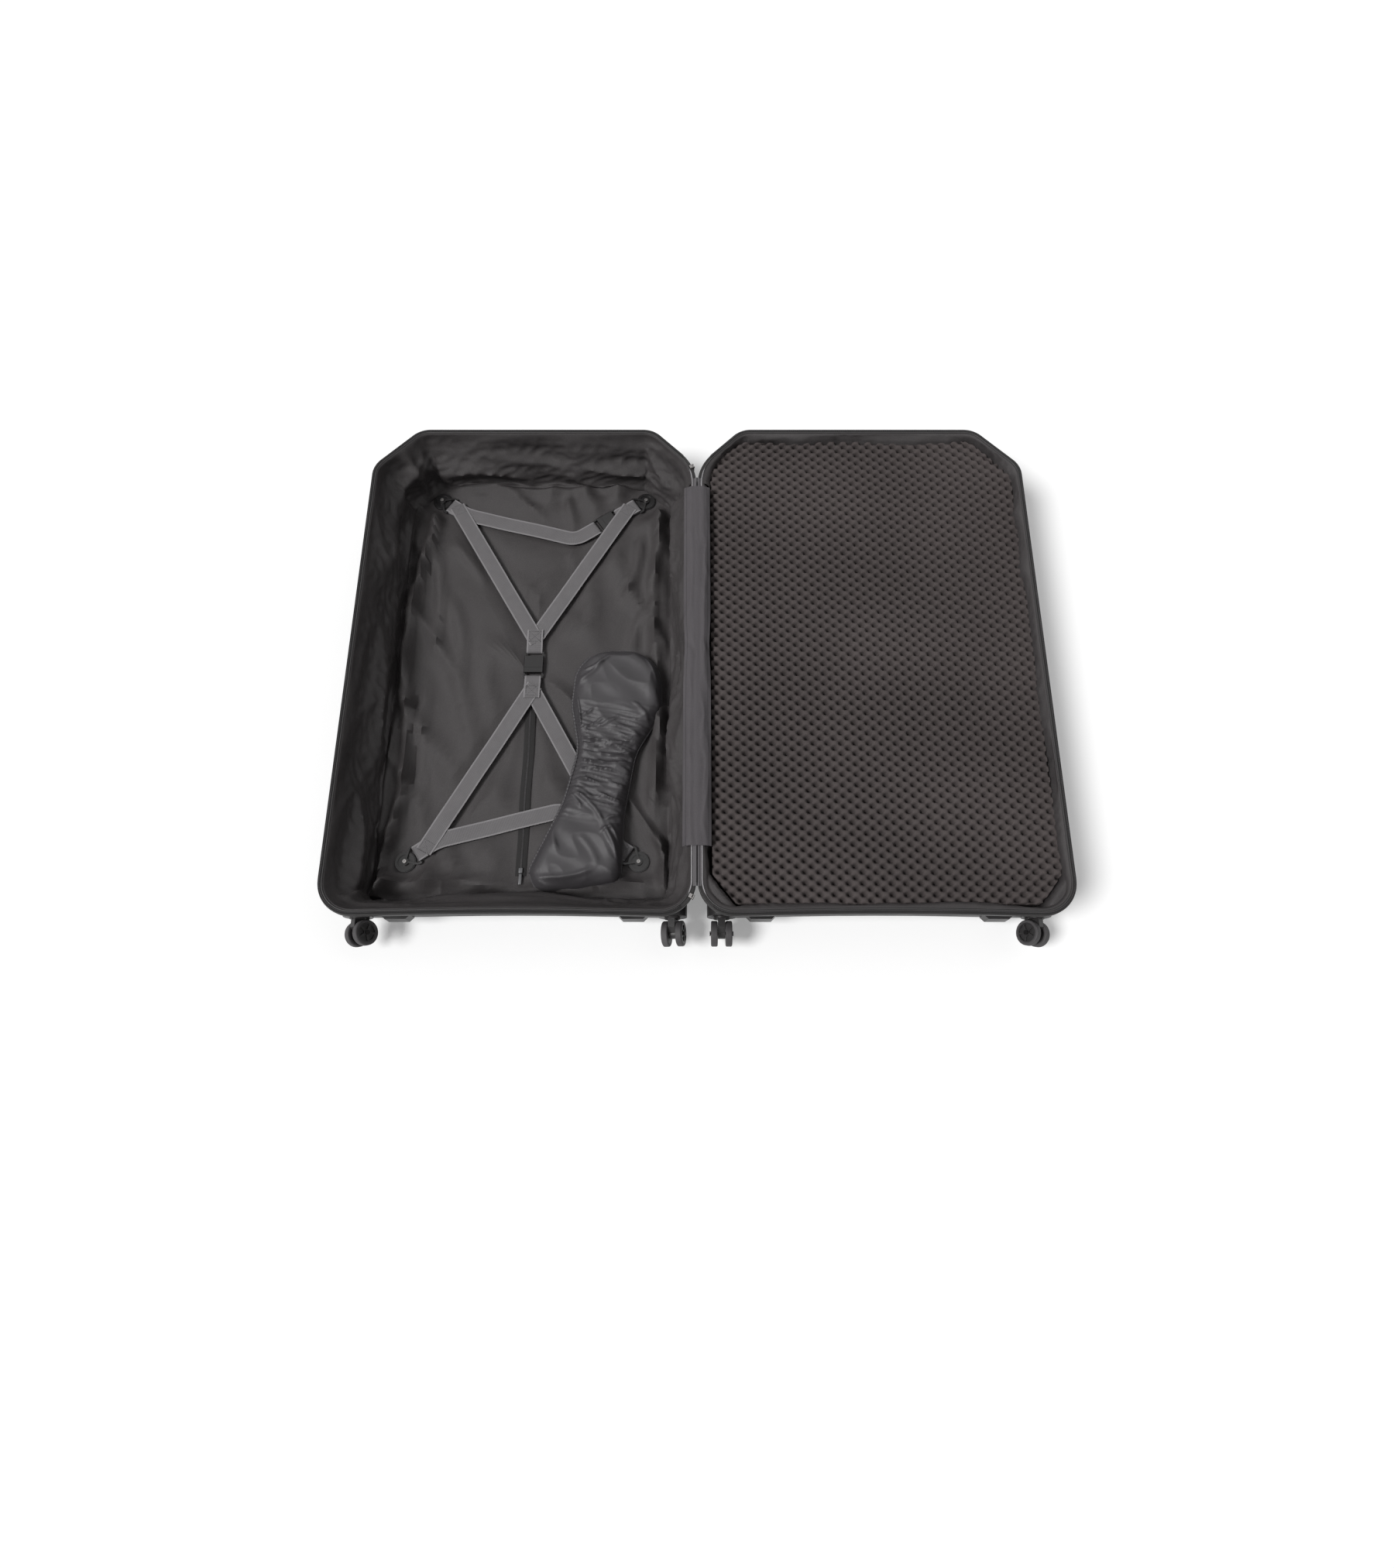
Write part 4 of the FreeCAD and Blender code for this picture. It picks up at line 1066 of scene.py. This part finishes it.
class CASE_OT_liners(bpy.types.Operator):
    """Shape the loose liners in both halves, with their seams and the floor's zip"""

    bl_idname = "case.liners"
    bl_label = "Liners"

    def pillows(self):
        """The lid's near corners beside the foam's cuts, as if they lay on the base's side."""
        low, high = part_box("foam_pad")
        across, along = 0.788, -0.616
        return (
            (-low[0], low[1] + FOAM_CUT_ALONG, across, along, 0.157),
            (-high[0], low[1] + FOAM_CUT_ALONG, -across, along, 0.157),
        )

    def floor_zip(self, finishes):
        """The zip in the base's floor cloth: two tapes, a coil, and a slider with its pull."""
        x, (first, last) = FLOOR_ZIP_X, FLOOR_ZIP_Y
        at = FLOOR_Z + 0.0040

        def place(u, v):
            y = first + (last - first) * v
            wave = 0.0012 * np.sin(y / 0.035) * np.sin(math.pi * v)
            return x + 0.024 * (u - 0.5) + wave, y, at - 0.0010 * np.abs(2 * u - 1) ** 2

        tape = grid_piece("floor_zip_tape", 8, 120, place)
        apply_modifier(tape, "SOLIDIFY", thickness=0.0012, offset=0.0)
        v = np.linspace(0, 1, 121)
        path = np.column_stack(place(np.full(121, 0.5), v)) + np.array((0, 0, 0.0004))
        coil = row_along("floor_zip_coil", path, 0.0022, (0.0013, 0.0042, 0.0013))
        slider = block_piece("floor_zip_slider", (0.009, 0.012, 0.0042))
        set_points(slider, points_of(slider) + np.array((x, first + 0.012, at + 0.0026)))
        pull = block_piece("floor_zip_pull", (0.0065, 0.024, 0.0014))
        set_points(pull, points_of(pull) + np.array((x, first - 0.008, at + 0.0046)))
        for piece in (slider, pull):
            apply_modifier(piece, "BEVEL", width=0.0011, segments=3)
            smooth(piece, 40)
        for piece, finish in zip((tape, coil, slider, pull), finishes):
            dress(piece, finish, "base")

    def seam(self, yarn):
        """The stitches that hold a liner's edge beside the piping, on both halves."""
        ring = rim_outline(0.0112)
        ring = np.column_stack([ring, np.full(len(ring), LIP_Z)])
        seam = stitches("base_liner_stitches", ring)
        copy = mirror_copy(seam, "lid_liner_stitches")
        dress(seam, yarn, "base")
        dress(copy, yarn, "lid")

    def execute(self, context):
        colours, sizes = context.scene.case_colours, context.scene.case_sizes
        cloth = cloth_finish("liner_cloth", colours.liner, 0.0011, 0.52, contrast=0.42, gloss=0.32)
        base = lined_half("base_lining", sizes.liner_slack, BASE_FOLDS, (), 0.0, 1)
        other = lined_half("lid_lining_side", sizes.liner_slack, LID_FOLDS, self.pillows(), 0.0150, 5)
        lid = mirror_copy(other, "lid_lining")
        bpy.data.objects.remove(other)
        dress(base, cloth, "base")
        dress(lid, cloth, "lid")
        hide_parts("base_liner")
        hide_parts("lid_liner")
        kept = bpy.data.materials
        self.seam(kept["stitch_thread"])
        zip_finishes = ("zip_tape_cloth", "zip_teeth_moulded", "zip_metal", "zip_metal")
        self.floor_zip([kept[name] for name in zip_finishes])
        return {"FINISHED"}


class CASE_OT_foam(bpy.types.Operator):
    """Cut the egg-crate foam sheet that lies in the lid"""

    bl_idname = "case.foam"
    bl_label = "Egg-crate foam"

    def outline(self):
        """The sheet's edge on the lid: the rim's shape with the near corners cut straight."""
        low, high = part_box("foam_pad")
        left, right, near, far = low[0], high[0], low[1], high[1]
        corners = [
            (left + FOAM_CUT_ACROSS, near, 0.008),
            (right - FOAM_CUT_ACROSS, near, 0.008),
            (right, near + FOAM_CUT_ALONG, 0.008),
            (right, far - 0.097, 0.050),
            (right - 0.097, far, 0.050),
            (left + 0.075, far, 0.050),
            (left, far - 0.072, 0.100),
            (left, near + FOAM_CUT_ALONG, 0.008),
        ]
        return rounded_outline(corners, side_counts(corners, 0.02), 0.008)

    def execute(self, context):
        colours, sizes = context.scene.case_colours, context.scene.case_sizes
        low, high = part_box("foam_pad")
        outline = self.outline()
        rng = np.random.default_rng(4)
        ragged = rng.normal(0, 0.0006, 400)

        def place(u, v):
            y = low[1] + (high[1] - low[1]) * v
            left, right = row_spans(outline, y)
            x = left + (right - left) * u
            waves = np.cos(2 * math.pi * x / sizes.foam_pitch_across)
            waves = waves * np.cos(2 * math.pi * y / sizes.foam_pitch_along)
            sag = 0.0022 * (1 + soft_noise(x, y, 0.34, 21))
            z = high[2] - sizes.foam_relief * (0.5 - 0.5 * waves) ** 2.5 - sag
            edge = (u < 1e-6) | (u > 1 - 1e-6) | (v < 1e-6) | (v > 1 - 1e-6)
            z = z + np.where(edge, np.resize(ragged, len(z)), 0)
            return x, y, z

        pad = grid_piece("egg_crate_pad", 236, 384, place)
        close_below(pad, (1, 1, 0), (0, 0, low[2] + 0.0005))
        smooth(pad, 55)
        dress(pad, foam_finish(colours.foam, high[2] - sizes.foam_relief - 0.004, high[2]), "foam")
        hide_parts("foam_pad")
        return {"FINISHED"}


class CASE_OT_flap(bpy.types.Operator):
    """Lay the cloth flap with its stitched hems over the hinge"""

    bl_idname = "case.flap"
    bl_label = "Hinge flap"

    def execute(self, context):
        colours = context.scene.case_colours
        low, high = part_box("hinge_flap")
        half, crown = high[0], high[2] - 0.0008
        pinched = Y_NEAR + 0.610

        def place(u, v):
            y = low[1] + (high[1] - low[1]) * v
            pinch = 1 - 0.10 * np.exp(-(((y - pinched) / 0.05) ** 2))
            wander = 0.0022 * np.sin(y / 0.09) + 0.0016 * np.sin(y / 0.041 + 1.0)
            x = (2 * u - 1) * half * 0.985 * pinch + wander * (1 - np.abs(2 * u - 1)) * 0.6
            z = crown - 0.013 * (x / half) ** 2
            folds = 0.0017 * creased(x * 5, y, 0.26, 30) + 0.0010 * creased(x * 3, y, 0.10, 31)
            folds += 0.0030 * np.exp(-((y - pinched) / 0.018) ** 2) * np.sin(9 * u + 60 * y)
            z = z + np.maximum(folds + 0.0022, 0) * smoothstep(0.12, 0.6, np.abs(2 * u - 1))
            return x, y, np.minimum(z, high[2])

        flap = grid_piece("hinge_cover_flap", 44, 300, place)
        scale_uv(flap, 2 * half, high[1] - low[1])
        apply_modifier(flap, "SOLIDIFY", thickness=0.0011, offset=-1.0)
        smooth(flap, 60)
        cloth = flap_finish(colours.flap, tuple(c * 0.4 for c in colours.thread), 2 * half)
        dress(flap, cloth, None)
        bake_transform(flap)
        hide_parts("hinge_flap")
        return {"FINISHED"}


# Webbing

WEB_STEP = 0.006
CORNER_SHARE = 0.42
SEWN = 0.026


def heading(angle):
    return np.array([math.cos(math.radians(angle)), math.sin(math.radians(angle))])


def tail_of(anchor):
    """Bar, end of the sewn tail and direction of the web at an anchor."""
    x, y, angle = ANCHORS[anchor]
    bar = np.array([x, y]) + heading(angle) * LOOP_LENGTH
    return bar, bar + heading(angle) * TAIL_LENGTH, angle


def wrapped_start(bar, bar_z, direction, fold=0.026):
    """The web's turned-back end and its fold round a bar, up to the top of the bar."""
    spots = []
    for t in np.linspace(0, 1, 6)[:-1]:
        reach = fold * (1 - t)
        rise = WRAP_RADIUS - 0.0019 - (2 * WRAP_RADIUS - 0.0019) * smoothstep(0.1, 0.95, t)
        spots.append((*(bar + direction * reach), bar_z + rise))
    for turn in np.linspace(-90, 90, 9):
        back = WRAP_RADIUS * math.cos(math.radians(turn))
        spots.append((*(bar - direction * back), bar_z + WRAP_RADIUS * math.sin(math.radians(turn))))
    return spots


def plan_run(corners):
    """Points along a plan route whose corners are eased."""
    corners = [np.array(c) for c in corners]
    route = [corners[0]]
    for i in range(1, len(corners) - 1):
        before, here, after = corners[i - 1], corners[i], corners[i + 1]
        reach = CORNER_SHARE * min(np.linalg.norm(here - before), np.linalg.norm(after - here))
        enter = here + (before - here) / np.linalg.norm(before - here) * reach
        leave = here + (after - here) / np.linalg.norm(after - here) * reach
        for t in np.linspace(0, 1, 9):
            route.append((1 - t) ** 2 * enter + 2 * t * (1 - t) * here + t * t * leave)
    route.append(corners[-1])
    route = np.array(route)
    run = run_along(route)
    at = np.linspace(0, run[-1], max(4, int(run[-1] / WEB_STEP)) + 1)
    return np.column_stack([np.interp(at, run, route[:, axis]) for axis in (0, 1)]), at


def web_strip(name, spots, sides):
    """A strip of webbing along 3D points, with the direction of its width at each."""
    sizes = bpy.context.scene.case_sizes
    spots, sides = np.array(spots), np.array(sides)
    sides = np.column_stack([sides, np.zeros(len(sides))])
    normal = unit_rows(np.cross(unit_rows(np.gradient(spots, axis=0)), sides))
    rows = len(spots) - 1

    def place(u, v):
        j = np.rint(v * rows).astype(int)
        off = (u - 0.5)[:, None]
        crown = (0.00025 * (1 - (2 * u - 1) ** 2))[:, None]
        return (spots[j] + sides[j] * off * sizes.web_width + normal[j] * crown).T

    strip = grid_piece(name, 8, rows, place)
    scale_uv(strip, sizes.web_width, step_lengths(spots).sum())
    apply_modifier(strip, "SOLIDIFY", thickness=sizes.web_thickness, offset=0.0)
    edit_all(strip, face_outwards)
    smooth(strip, 45)
    return strip


def side_of(direction):
    return np.array([-direction[1], direction[0]])


def box_stitch(name, middle, direction, z):
    """A sewn rectangle with a cross, as straps have at their ends."""
    reach, side = direction * SEWN / 2, side_of(direction) * SEWN / 2
    turns = ((-1, -1), (1, -1), (1, 1), (-1, 1), (-1, -1), (1, 1), (1, 1), (1, -1), (-1, 1))
    corners = [middle + reach * a + side * b for a, b in turns]
    rows = []
    for k, (a, b) in enumerate(zip(corners, corners[1:])):
        if np.linalg.norm(b - a) > 0.004:
            line = [(*(a + (b - a) * t), z) for t in np.linspace(0, 1, 8)]
            rows.append(stitches(f"{name}_{k}", line))
    return join(rows, name)


def short_tail(name, anchor):
    """A web from an anchor's bar to the bar of its buckle socket."""
    bar, end, angle = tail_of(anchor)
    ahead = heading(angle)
    start = wrapped_start(bar, BAR_Z, ahead)
    stop = wrapped_start(end, BAR_Z, -ahead)[::-1]
    middle, _ = plan_run([bar + ahead * 0.005, end - ahead * 0.005])
    spots = start + [(*p, BAR_Z + WRAP_RADIUS + 0.0004) for p in middle] + stop
    return web_strip(name, spots, [side_of(ahead)] * len(spots))


def long_web(name, left, right):
    """The long run of a side strap, from its left anchor to the plug of its buckle."""
    left_bar, left_end, left_angle = tail_of(left)
    _, right_end, right_angle = tail_of(right)
    back = heading(right_angle)
    plug_bar = right_end + back * (SOCKET_REACH + PLUG_REACH)
    turn_in = plug_bar + back * TURN_IN
    ahead = heading(left_angle)
    start = wrapped_start(left_bar, BAR_Z, ahead)
    stop = wrapped_start(plug_bar, BAR_Z, back)[::-1]
    route, at = plan_run([left_bar + ahead * 0.006, left_end, turn_in, plug_bar + back * 0.005])
    wave = 0.0011 * np.sin(at / 0.031) * np.sin(math.pi * at / at[-1])
    middle = [(*p, BAR_Z + WRAP_RADIUS + 0.0003 + w) for p, w in zip(route, wave)]
    turns = [side_of(run) for run in unit_rows(np.gradient(route, axis=0))]
    sides = [side_of(ahead)] * len(start) + turns + [side_of(-back)] * len(stop)
    strap = web_strip(name, start + middle + stop, sides)
    return strap, (*left_end, BAR_Z), (*plug_bar, BAR_Z)


def cross_leg(name, anchor, knot, layer):
    """A diagonal web from the middle of an anchor's tail to the knot."""
    bar, _, angle = tail_of(anchor)
    tail = bar + heading(angle) * TAIL_LENGTH / 2
    run = (knot - tail) / np.linalg.norm(knot - tail)
    begin = tail - run * 0.012
    route, at = plan_run([begin, knot + run * 0.012])
    t = at / at[-1]
    z = LEG_Z + (CROSS_BAR_Z + WRAP_RADIUS - LEG_Z) * smoothstep(0.04, 0.2, t)
    z = z + layer * 0.0018 * smoothstep(0.7, 0.92, t) + 0.0004 * np.sin(at / 0.027) * np.sin(math.pi * t)
    spots = [(*p, h) for p, h in zip(route, z)]
    return web_strip(name, spots, [side_of(run)] * len(spots)), tail, run


def centre_web(name, bar, direction):
    """The short web from the centre buckle's bar over the crossing of the legs."""
    start = wrapped_start(bar, CROSS_BAR_Z, direction, fold=0.02)
    route, at = plan_run([bar + direction * 0.005, bar + direction * (CENTRE_WEB + 0.022)])
    z = CROSS_BAR_Z + WRAP_RADIUS + 0.0036 * smoothstep(0.15, 0.6, at / at[-1])
    spots = start + [(*p, h) for p, h in zip(route, z)]
    return web_strip(name, spots, [side_of(direction)] * len(spots))


class CASE_OT_straps(bpy.types.Operator):
    """Run the webbing between the anchors and the buckles"""

    bl_idname = "case.straps"
    bl_label = "Straps"

    def sides(self, web):
        """The far and near straps: a short sewn tail and a long run to the plug."""
        for row, node in (("far", "top"), ("near", "bottom")):
            tail = short_tail(f"{node}_strap_tail", f"{row}_right")
            dress(tail, web, "base")
            run, start, end = long_web(f"{node}_strap_web", f"{row}_left", f"{row}_right")
            dress(run, web, None)
            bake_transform(run)
            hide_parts(f"{node}_strap")

    def cross(self, web, yarn):
        """The two crossed halves that meet at the centre buckle."""
        middle = np.array([BASE_MID, STRAP_MID])
        up = np.array([0.0, 1.0])
        for half, sign, reach, names in (
            ("upper", 1, SOCKET_REACH, ("far_left", "far_right")),
            ("lower", -1, PLUG_REACH, ("near_left", "near_right")),
        ):
            direction = sign * up
            bar = middle + direction * reach
            knot = bar + direction * CENTRE_WEB
            legs = []
            for layer, anchor in enumerate(reversed(names)):
                leg, tail, run = cross_leg(f"cross_leg_{anchor}", anchor, knot, layer)
                legs.append(leg)
                sewn = box_stitch(f"cross_stitch_{anchor}", tail, run, 0.0228)
                dress(sewn, yarn, "base")
            short = centre_web(f"cross_web_{half}", bar, direction)
            sewn_z = CROSS_BAR_Z + WRAP_RADIUS + 0.0046
            sewn_at = knot + direction * 0.004
            knot_box = box_stitch(f"cross_knot_{half}", sewn_at, direction, sewn_z)
            if half == "upper":
                for piece in (*legs, short):
                    dress(piece, web, "base")
                dress(knot_box, yarn, "base")
            else:
                for piece in legs:
                    dress(piece, web, None)
                    far_end = points_of(piece)[points_of(piece)[:, 1].argmin()]
                    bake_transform(piece)
                dress(short, web, "centre_plug")
                dress(knot_box, yarn, "centre_plug")
            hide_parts(f"cross_strap_{half}")

    def execute(self, context):
        colours, sizes = context.scene.case_colours, context.scene.case_sizes
        web = webbing_finish(colours.webbing, sizes.web_width)
        yarn = cloth_finish("strap_thread", tuple(c * 0.55 for c in colours.webbing), 0.0004, 0.55)
        self.sides(web)
        self.cross(web, yarn)
        return {"FINISHED"}


# The folds seen in the cover
COVER_FOLDS = folds_from(
    (-276, 437, -132, 420, 5, 4.5, -6), (-274, 418, -176, 411, 4, 4, 3),
    (-272, 404, -142, 394, 5, 5, -6), (-272, 381, -146, 373, 5, 5, -5),
    (-275, 357, -200, 355, 5, 4.5, 4), (-278, 334, -218, 320, 5, 5, 4),
    (-120, 424, -180, 443, 5, 5, 3), (-142, 391, -204, 388, 4, 4, -2),
    (-152, 344, -212, 362, 5, 5, 3), (-156, 312, -204, 331, 5, 4.5, 3),
    (-161, 275, -216, 299, 5, 5, 4), (-164, 248, -204, 234, 6, 5, -3),
    (-276, 452, -216, 477, 5, 5, -4), (-274, 485, -238, 501, 5, 5, -3),
    (-281, 540, -268, 452, 5, 5, 4), (-291, 300, -256, 262, 6, 5.5, 4),
    (-276, 308, -204, 224, 8, 6, 6), (-164, 226, -214, 207, 6, 5, -3),
    (-321, 246, -304, 160, 11, 6, -6), (-208, 224, -164, 122, 9, 7, 5),
    (-196, 228, -164, 164, 5, 4, 4), (-346, 103, -226, 122, 10, 5, -8),
    (-328, 82, -194, 94, 9, 5, -6), (-286, 566, -218, 628, 10, 5, -8),
    (-264, 600, -200, 640, 7, 4, -6), (-240, 455, -178, 486, 7, 4, -4),
    (-288, 318, -232, 284, 6, 5, 5), (-120, 640, -88, 560, 8, 3, 4),
    (-110, 470, -150, 520, 8, 3.5, -5), (-260, 200, -215, 130, 12, 4, 6),
)


def tube_piece(name, points, radii, around=8):
    """A closed tube along points, with its own radius at each."""
    ahead = unit_rows(np.gradient(points, axis=0))
    side = unit_rows(np.cross(ahead, (0, 0, 1.0)))
    lift = np.cross(side, ahead)
    rows = len(points) - 1

    def place(u, v):
        j = np.rint(v * rows).astype(int)
        turn = 2 * math.pi * u
        off = side[j] * np.cos(turn)[:, None] + lift[j] * np.sin(turn)[:, None]
        return (points[j] + off * radii[j][:, None]).T

    tube = grid_piece(name, around, rows, place)
    edit_all(tube, merge_close, bpy.ops.mesh.select_non_manifold, bpy.ops.mesh.edge_face_add)
    edit_all(tube, face_outwards)
    smooth(tube, 60)
    return tube


class CASE_OT_cover(bpy.types.Operator):
    """Shape the padded drivetrain cover with its folds, gathers and hem"""

    bl_idname = "case.cover"
    bl_label = "Drivetrain cover"

    def edge(self, inset):
        corners = [(x, Y_NEAR + y, r) for x, y, r in COVER_EDGE]
        return rounded_outline(offset_corners(corners, inset), side_counts(corners, 0.008), 0.012)

    def top(self, x, y, inside):
        """Height of the cover's upper side: a rounded bag, slimmer at its gathered neck."""
        along = (y - Y_NEAR) / MM
        neck = np.exp(-(((along - 365) / 95) ** 2))
        rise = 0.041 - 0.010 * neck
        round_in = np.clip(inside / 0.034, 0, 1)
        z = COVER_LOW + rise * np.sqrt(1 - (1 - round_in) ** 2)
        gathered = smoothstep(215, 280, along) * (1 - smoothstep(470, 540, along))
        pucker = np.sin(2 * math.pi * along / 9.5 + 1.7 * np.sin(along / 23.0)) * np.exp(-inside / 0.013)
        z += 0.0022 * gathered * pucker * smoothstep(0, 0.004, inside)
        body = smoothstep(0.002, 0.016, inside)
        for start, stop, width, height, bow in COVER_FOLDS:
            z += body * fold_ridge(x, y, start, stop, 0.62 * width, 1.1 * height, bow)
        z += body * (0.0022 * soft_noise(x, y, 0.15, 41) + 0.0034 * creased(x, y + 0.4 * x, 0.085, 42))
        z += body * gathered * 0.0022 * creased(x / 4, y + 0.25 * x, 0.021, 43)
        return z

    def bag(self):
        outline = self.edge(0.0)
        low, high = outline[:, 1].min(), outline[:, 1].max()

        def place(u, v):
            y = low + (high - low) * (0.5 - 0.5 * np.cos(math.pi * v))
            left, right = row_spans(outline, y)
            x = left + (right - left) * (0.5 - 0.5 * np.cos(math.pi * u))
            inside = edge_distance(np.column_stack([x, y]), outline)
            return x, y, self.top(x, y, inside)

        bag = grid_piece("drivetrain_bag", 150, 320, place)
        close_below(bag, (0.96, 0.98, 1), (-0.22, Y_NEAR + 0.36, COVER_LOW))
        smooth(bag, 70)
        return bag

    def hem(self, start, stop, lift, radius, pucker):
        """A rolled hem along the part of the edge between two shares of its run."""
        outline = self.edge(0.0012)
        count = len(outline)
        picked = outline[np.arange(int(start * count), int(stop * count)) % count]
        run = run_along(picked)
        at = np.linspace(0, run[-1], max(8, int(run[-1] / 0.0022)))
        x, y = np.interp(at, run, picked[:, 0]), np.interp(at, run, picked[:, 1])
        points = np.column_stack([x, y, np.full(len(at), COVER_LOW + lift)])
        radii = radius * (1 + pucker * np.sin(2 * math.pi * at / 0.0085 + 1.4 * np.sin(at / 0.02)))
        return points, radii

    def execute(self, context):
        colours = context.scene.case_colours
        nylon = cloth_finish(
            "cover_nylon", colours.cover, 0.0009, 0.42, contrast=0.12, depth=0.00015, gloss=0.38
        )
        bag = self.bag()
        dress(bag, nylon, "cover")
        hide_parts("drivetrain_cover")
        elastic = tube_piece("cover_elastic_hem", *self.hem(0.60, 0.97, 0.013, 0.0034, 0.22), around=10)
        dress(elastic, nylon, "cover")
        seam = tube_piece("cover_edge_seam", *self.hem(-0.03, 0.60, 0.009, 0.0013, 0.0))
        dress(seam, nylon, "cover")
        return {"FINISHED"}


# Stage

FLOOR_GLOW = 0.26


class CASE_OT_stage(bpy.types.Operator):
    """Set the pale floor, the soft light and the camera"""

    bl_idname = "case.stage"
    bl_label = "Stage"

    def floor(self):
        deselect_all()
        bpy.ops.mesh.primitive_plane_add(size=14.0, location=(0, 0, -0.0006))
        floor = named("studio_floor")
        finish = bpy.data.materials.new("pale_floor")
        finish.use_nodes = True
        tree = finish.node_tree
        tree.nodes.clear()
        seen = seen_rays(tree)
        matt = add_node(tree, "ShaderNodeBsdfDiffuse", {"Color": (0.8, 0.8, 0.8, 1.0)}).outputs[0]
        strength = calc(tree, "MULTIPLY", seen, FLOOR_GLOW)
        glow = add_node(tree, "ShaderNodeEmission", {"Strength": strength}).outputs[0]
        both = add_node(tree, "ShaderNodeAddShader", {0: matt, 1: glow}).outputs[0]
        out = add_node(tree, "ShaderNodeOutputMaterial")
        tree.links.new(both, out.inputs["Surface"])
        floor.data.materials.append(finish)

    def world(self, ambient):
        world = bpy.data.worlds.new("even_light")
        bpy.context.scene.world = world
        world.use_nodes = True
        tree = world.node_tree
        seen = seen_rays(tree)
        strength = calc(tree, "ADD", ambient, calc(tree, "MULTIPLY", seen, 1.0 - ambient))
        back = tree.nodes["Background"]
        back.inputs["Color"].default_value = (1.0, 1.0, 1.0, 1.0)
        tree.links.new(strength, back.inputs["Strength"])

    def lamp(self, name, place, spread_angle, strength):
        """A soft light from far away, shining from a place to the origin."""
        deselect_all()
        bpy.ops.object.light_add(type="SUN", location=place)
        lamp = named(name)
        lamp.data.angle = math.radians(spread_angle)
        lamp.data.energy = strength
        lamp.rotation_euler = (-Vector(place)).to_track_quat("-Z", "Y").to_euler()

    def execute(self, context):
        stage = context.scene.case_stage
        self.floor()
        self.world(stage.ambient)
        self.lamp("key_light", (-1.4, -0.6, 2.0), 20, stage.key_power)
        self.lamp("fill_light", (1.6, 1.3, 2.4), 60, stage.fill_power)
        bpy.ops.object.camera_add(
            location=(0, Y_NEAR - stage.camera_back, stage.camera_height), rotation=(stage.camera_tilt, 0, 0)
        )
        camera = named("photo_camera")
        camera.data.sensor_width = 36.0
        camera.data.lens = stage.lens
        context.scene.camera = camera
        context.scene.view_settings.view_transform = "Standard"
        return {"FINISHED"}


OPERATORS = (
    CASE_OT_stage, CASE_OT_fittings, CASE_OT_zips, CASE_OT_liners,
    CASE_OT_foam, CASE_OT_flap, CASE_OT_straps, CASE_OT_cover,
)


class CASE_PT_panel(bpy.types.Panel):
    """Sizes, colours and makers of the travel case"""

    bl_label = "Travel case"
    bl_idname = "CASE_PT_panel"
    bl_space_type = "VIEW_3D"
    bl_region_type = "UI"
    bl_category = "Travel case"

    def draw(self, context):
        for operator in OPERATORS:
            self.layout.operator(operator.bl_idname)
        for group in (context.scene.case_sizes, context.scene.case_colours, context.scene.case_stage):
            column = self.layout.column()
            for name in group.__annotations__:
                column.prop(group, name)


GROUPS = {"case_sizes": CaseSizes, "case_colours": CaseColours, "case_stage": StageSettings}


def register():
    for name, group in GROUPS.items():
        bpy.utils.register_class(group)
        setattr(bpy.types.Scene, name, PointerProperty(type=group))
    for cls in (*OPERATORS, CASE_PT_panel):
        bpy.utils.register_class(cls)


def unregister():
    for cls in reversed((*OPERATORS, CASE_PT_panel)):
        bpy.utils.unregister_class(cls)
    for name, group in reversed(GROUPS.items()):
        delattr(bpy.types.Scene, name)
        bpy.utils.unregister_class(group)


def main():
    register()
    bpy.ops.case.stage()
    bpy.ops.case.fittings()
    bpy.ops.case.zips()
    bpy.ops.case.liners()
    bpy.ops.case.foam()
    bpy.ops.case.flap()
    bpy.ops.case.straps()
    bpy.ops.case.cover()
    deselect_all()


if __name__ == "__main__":
    main()
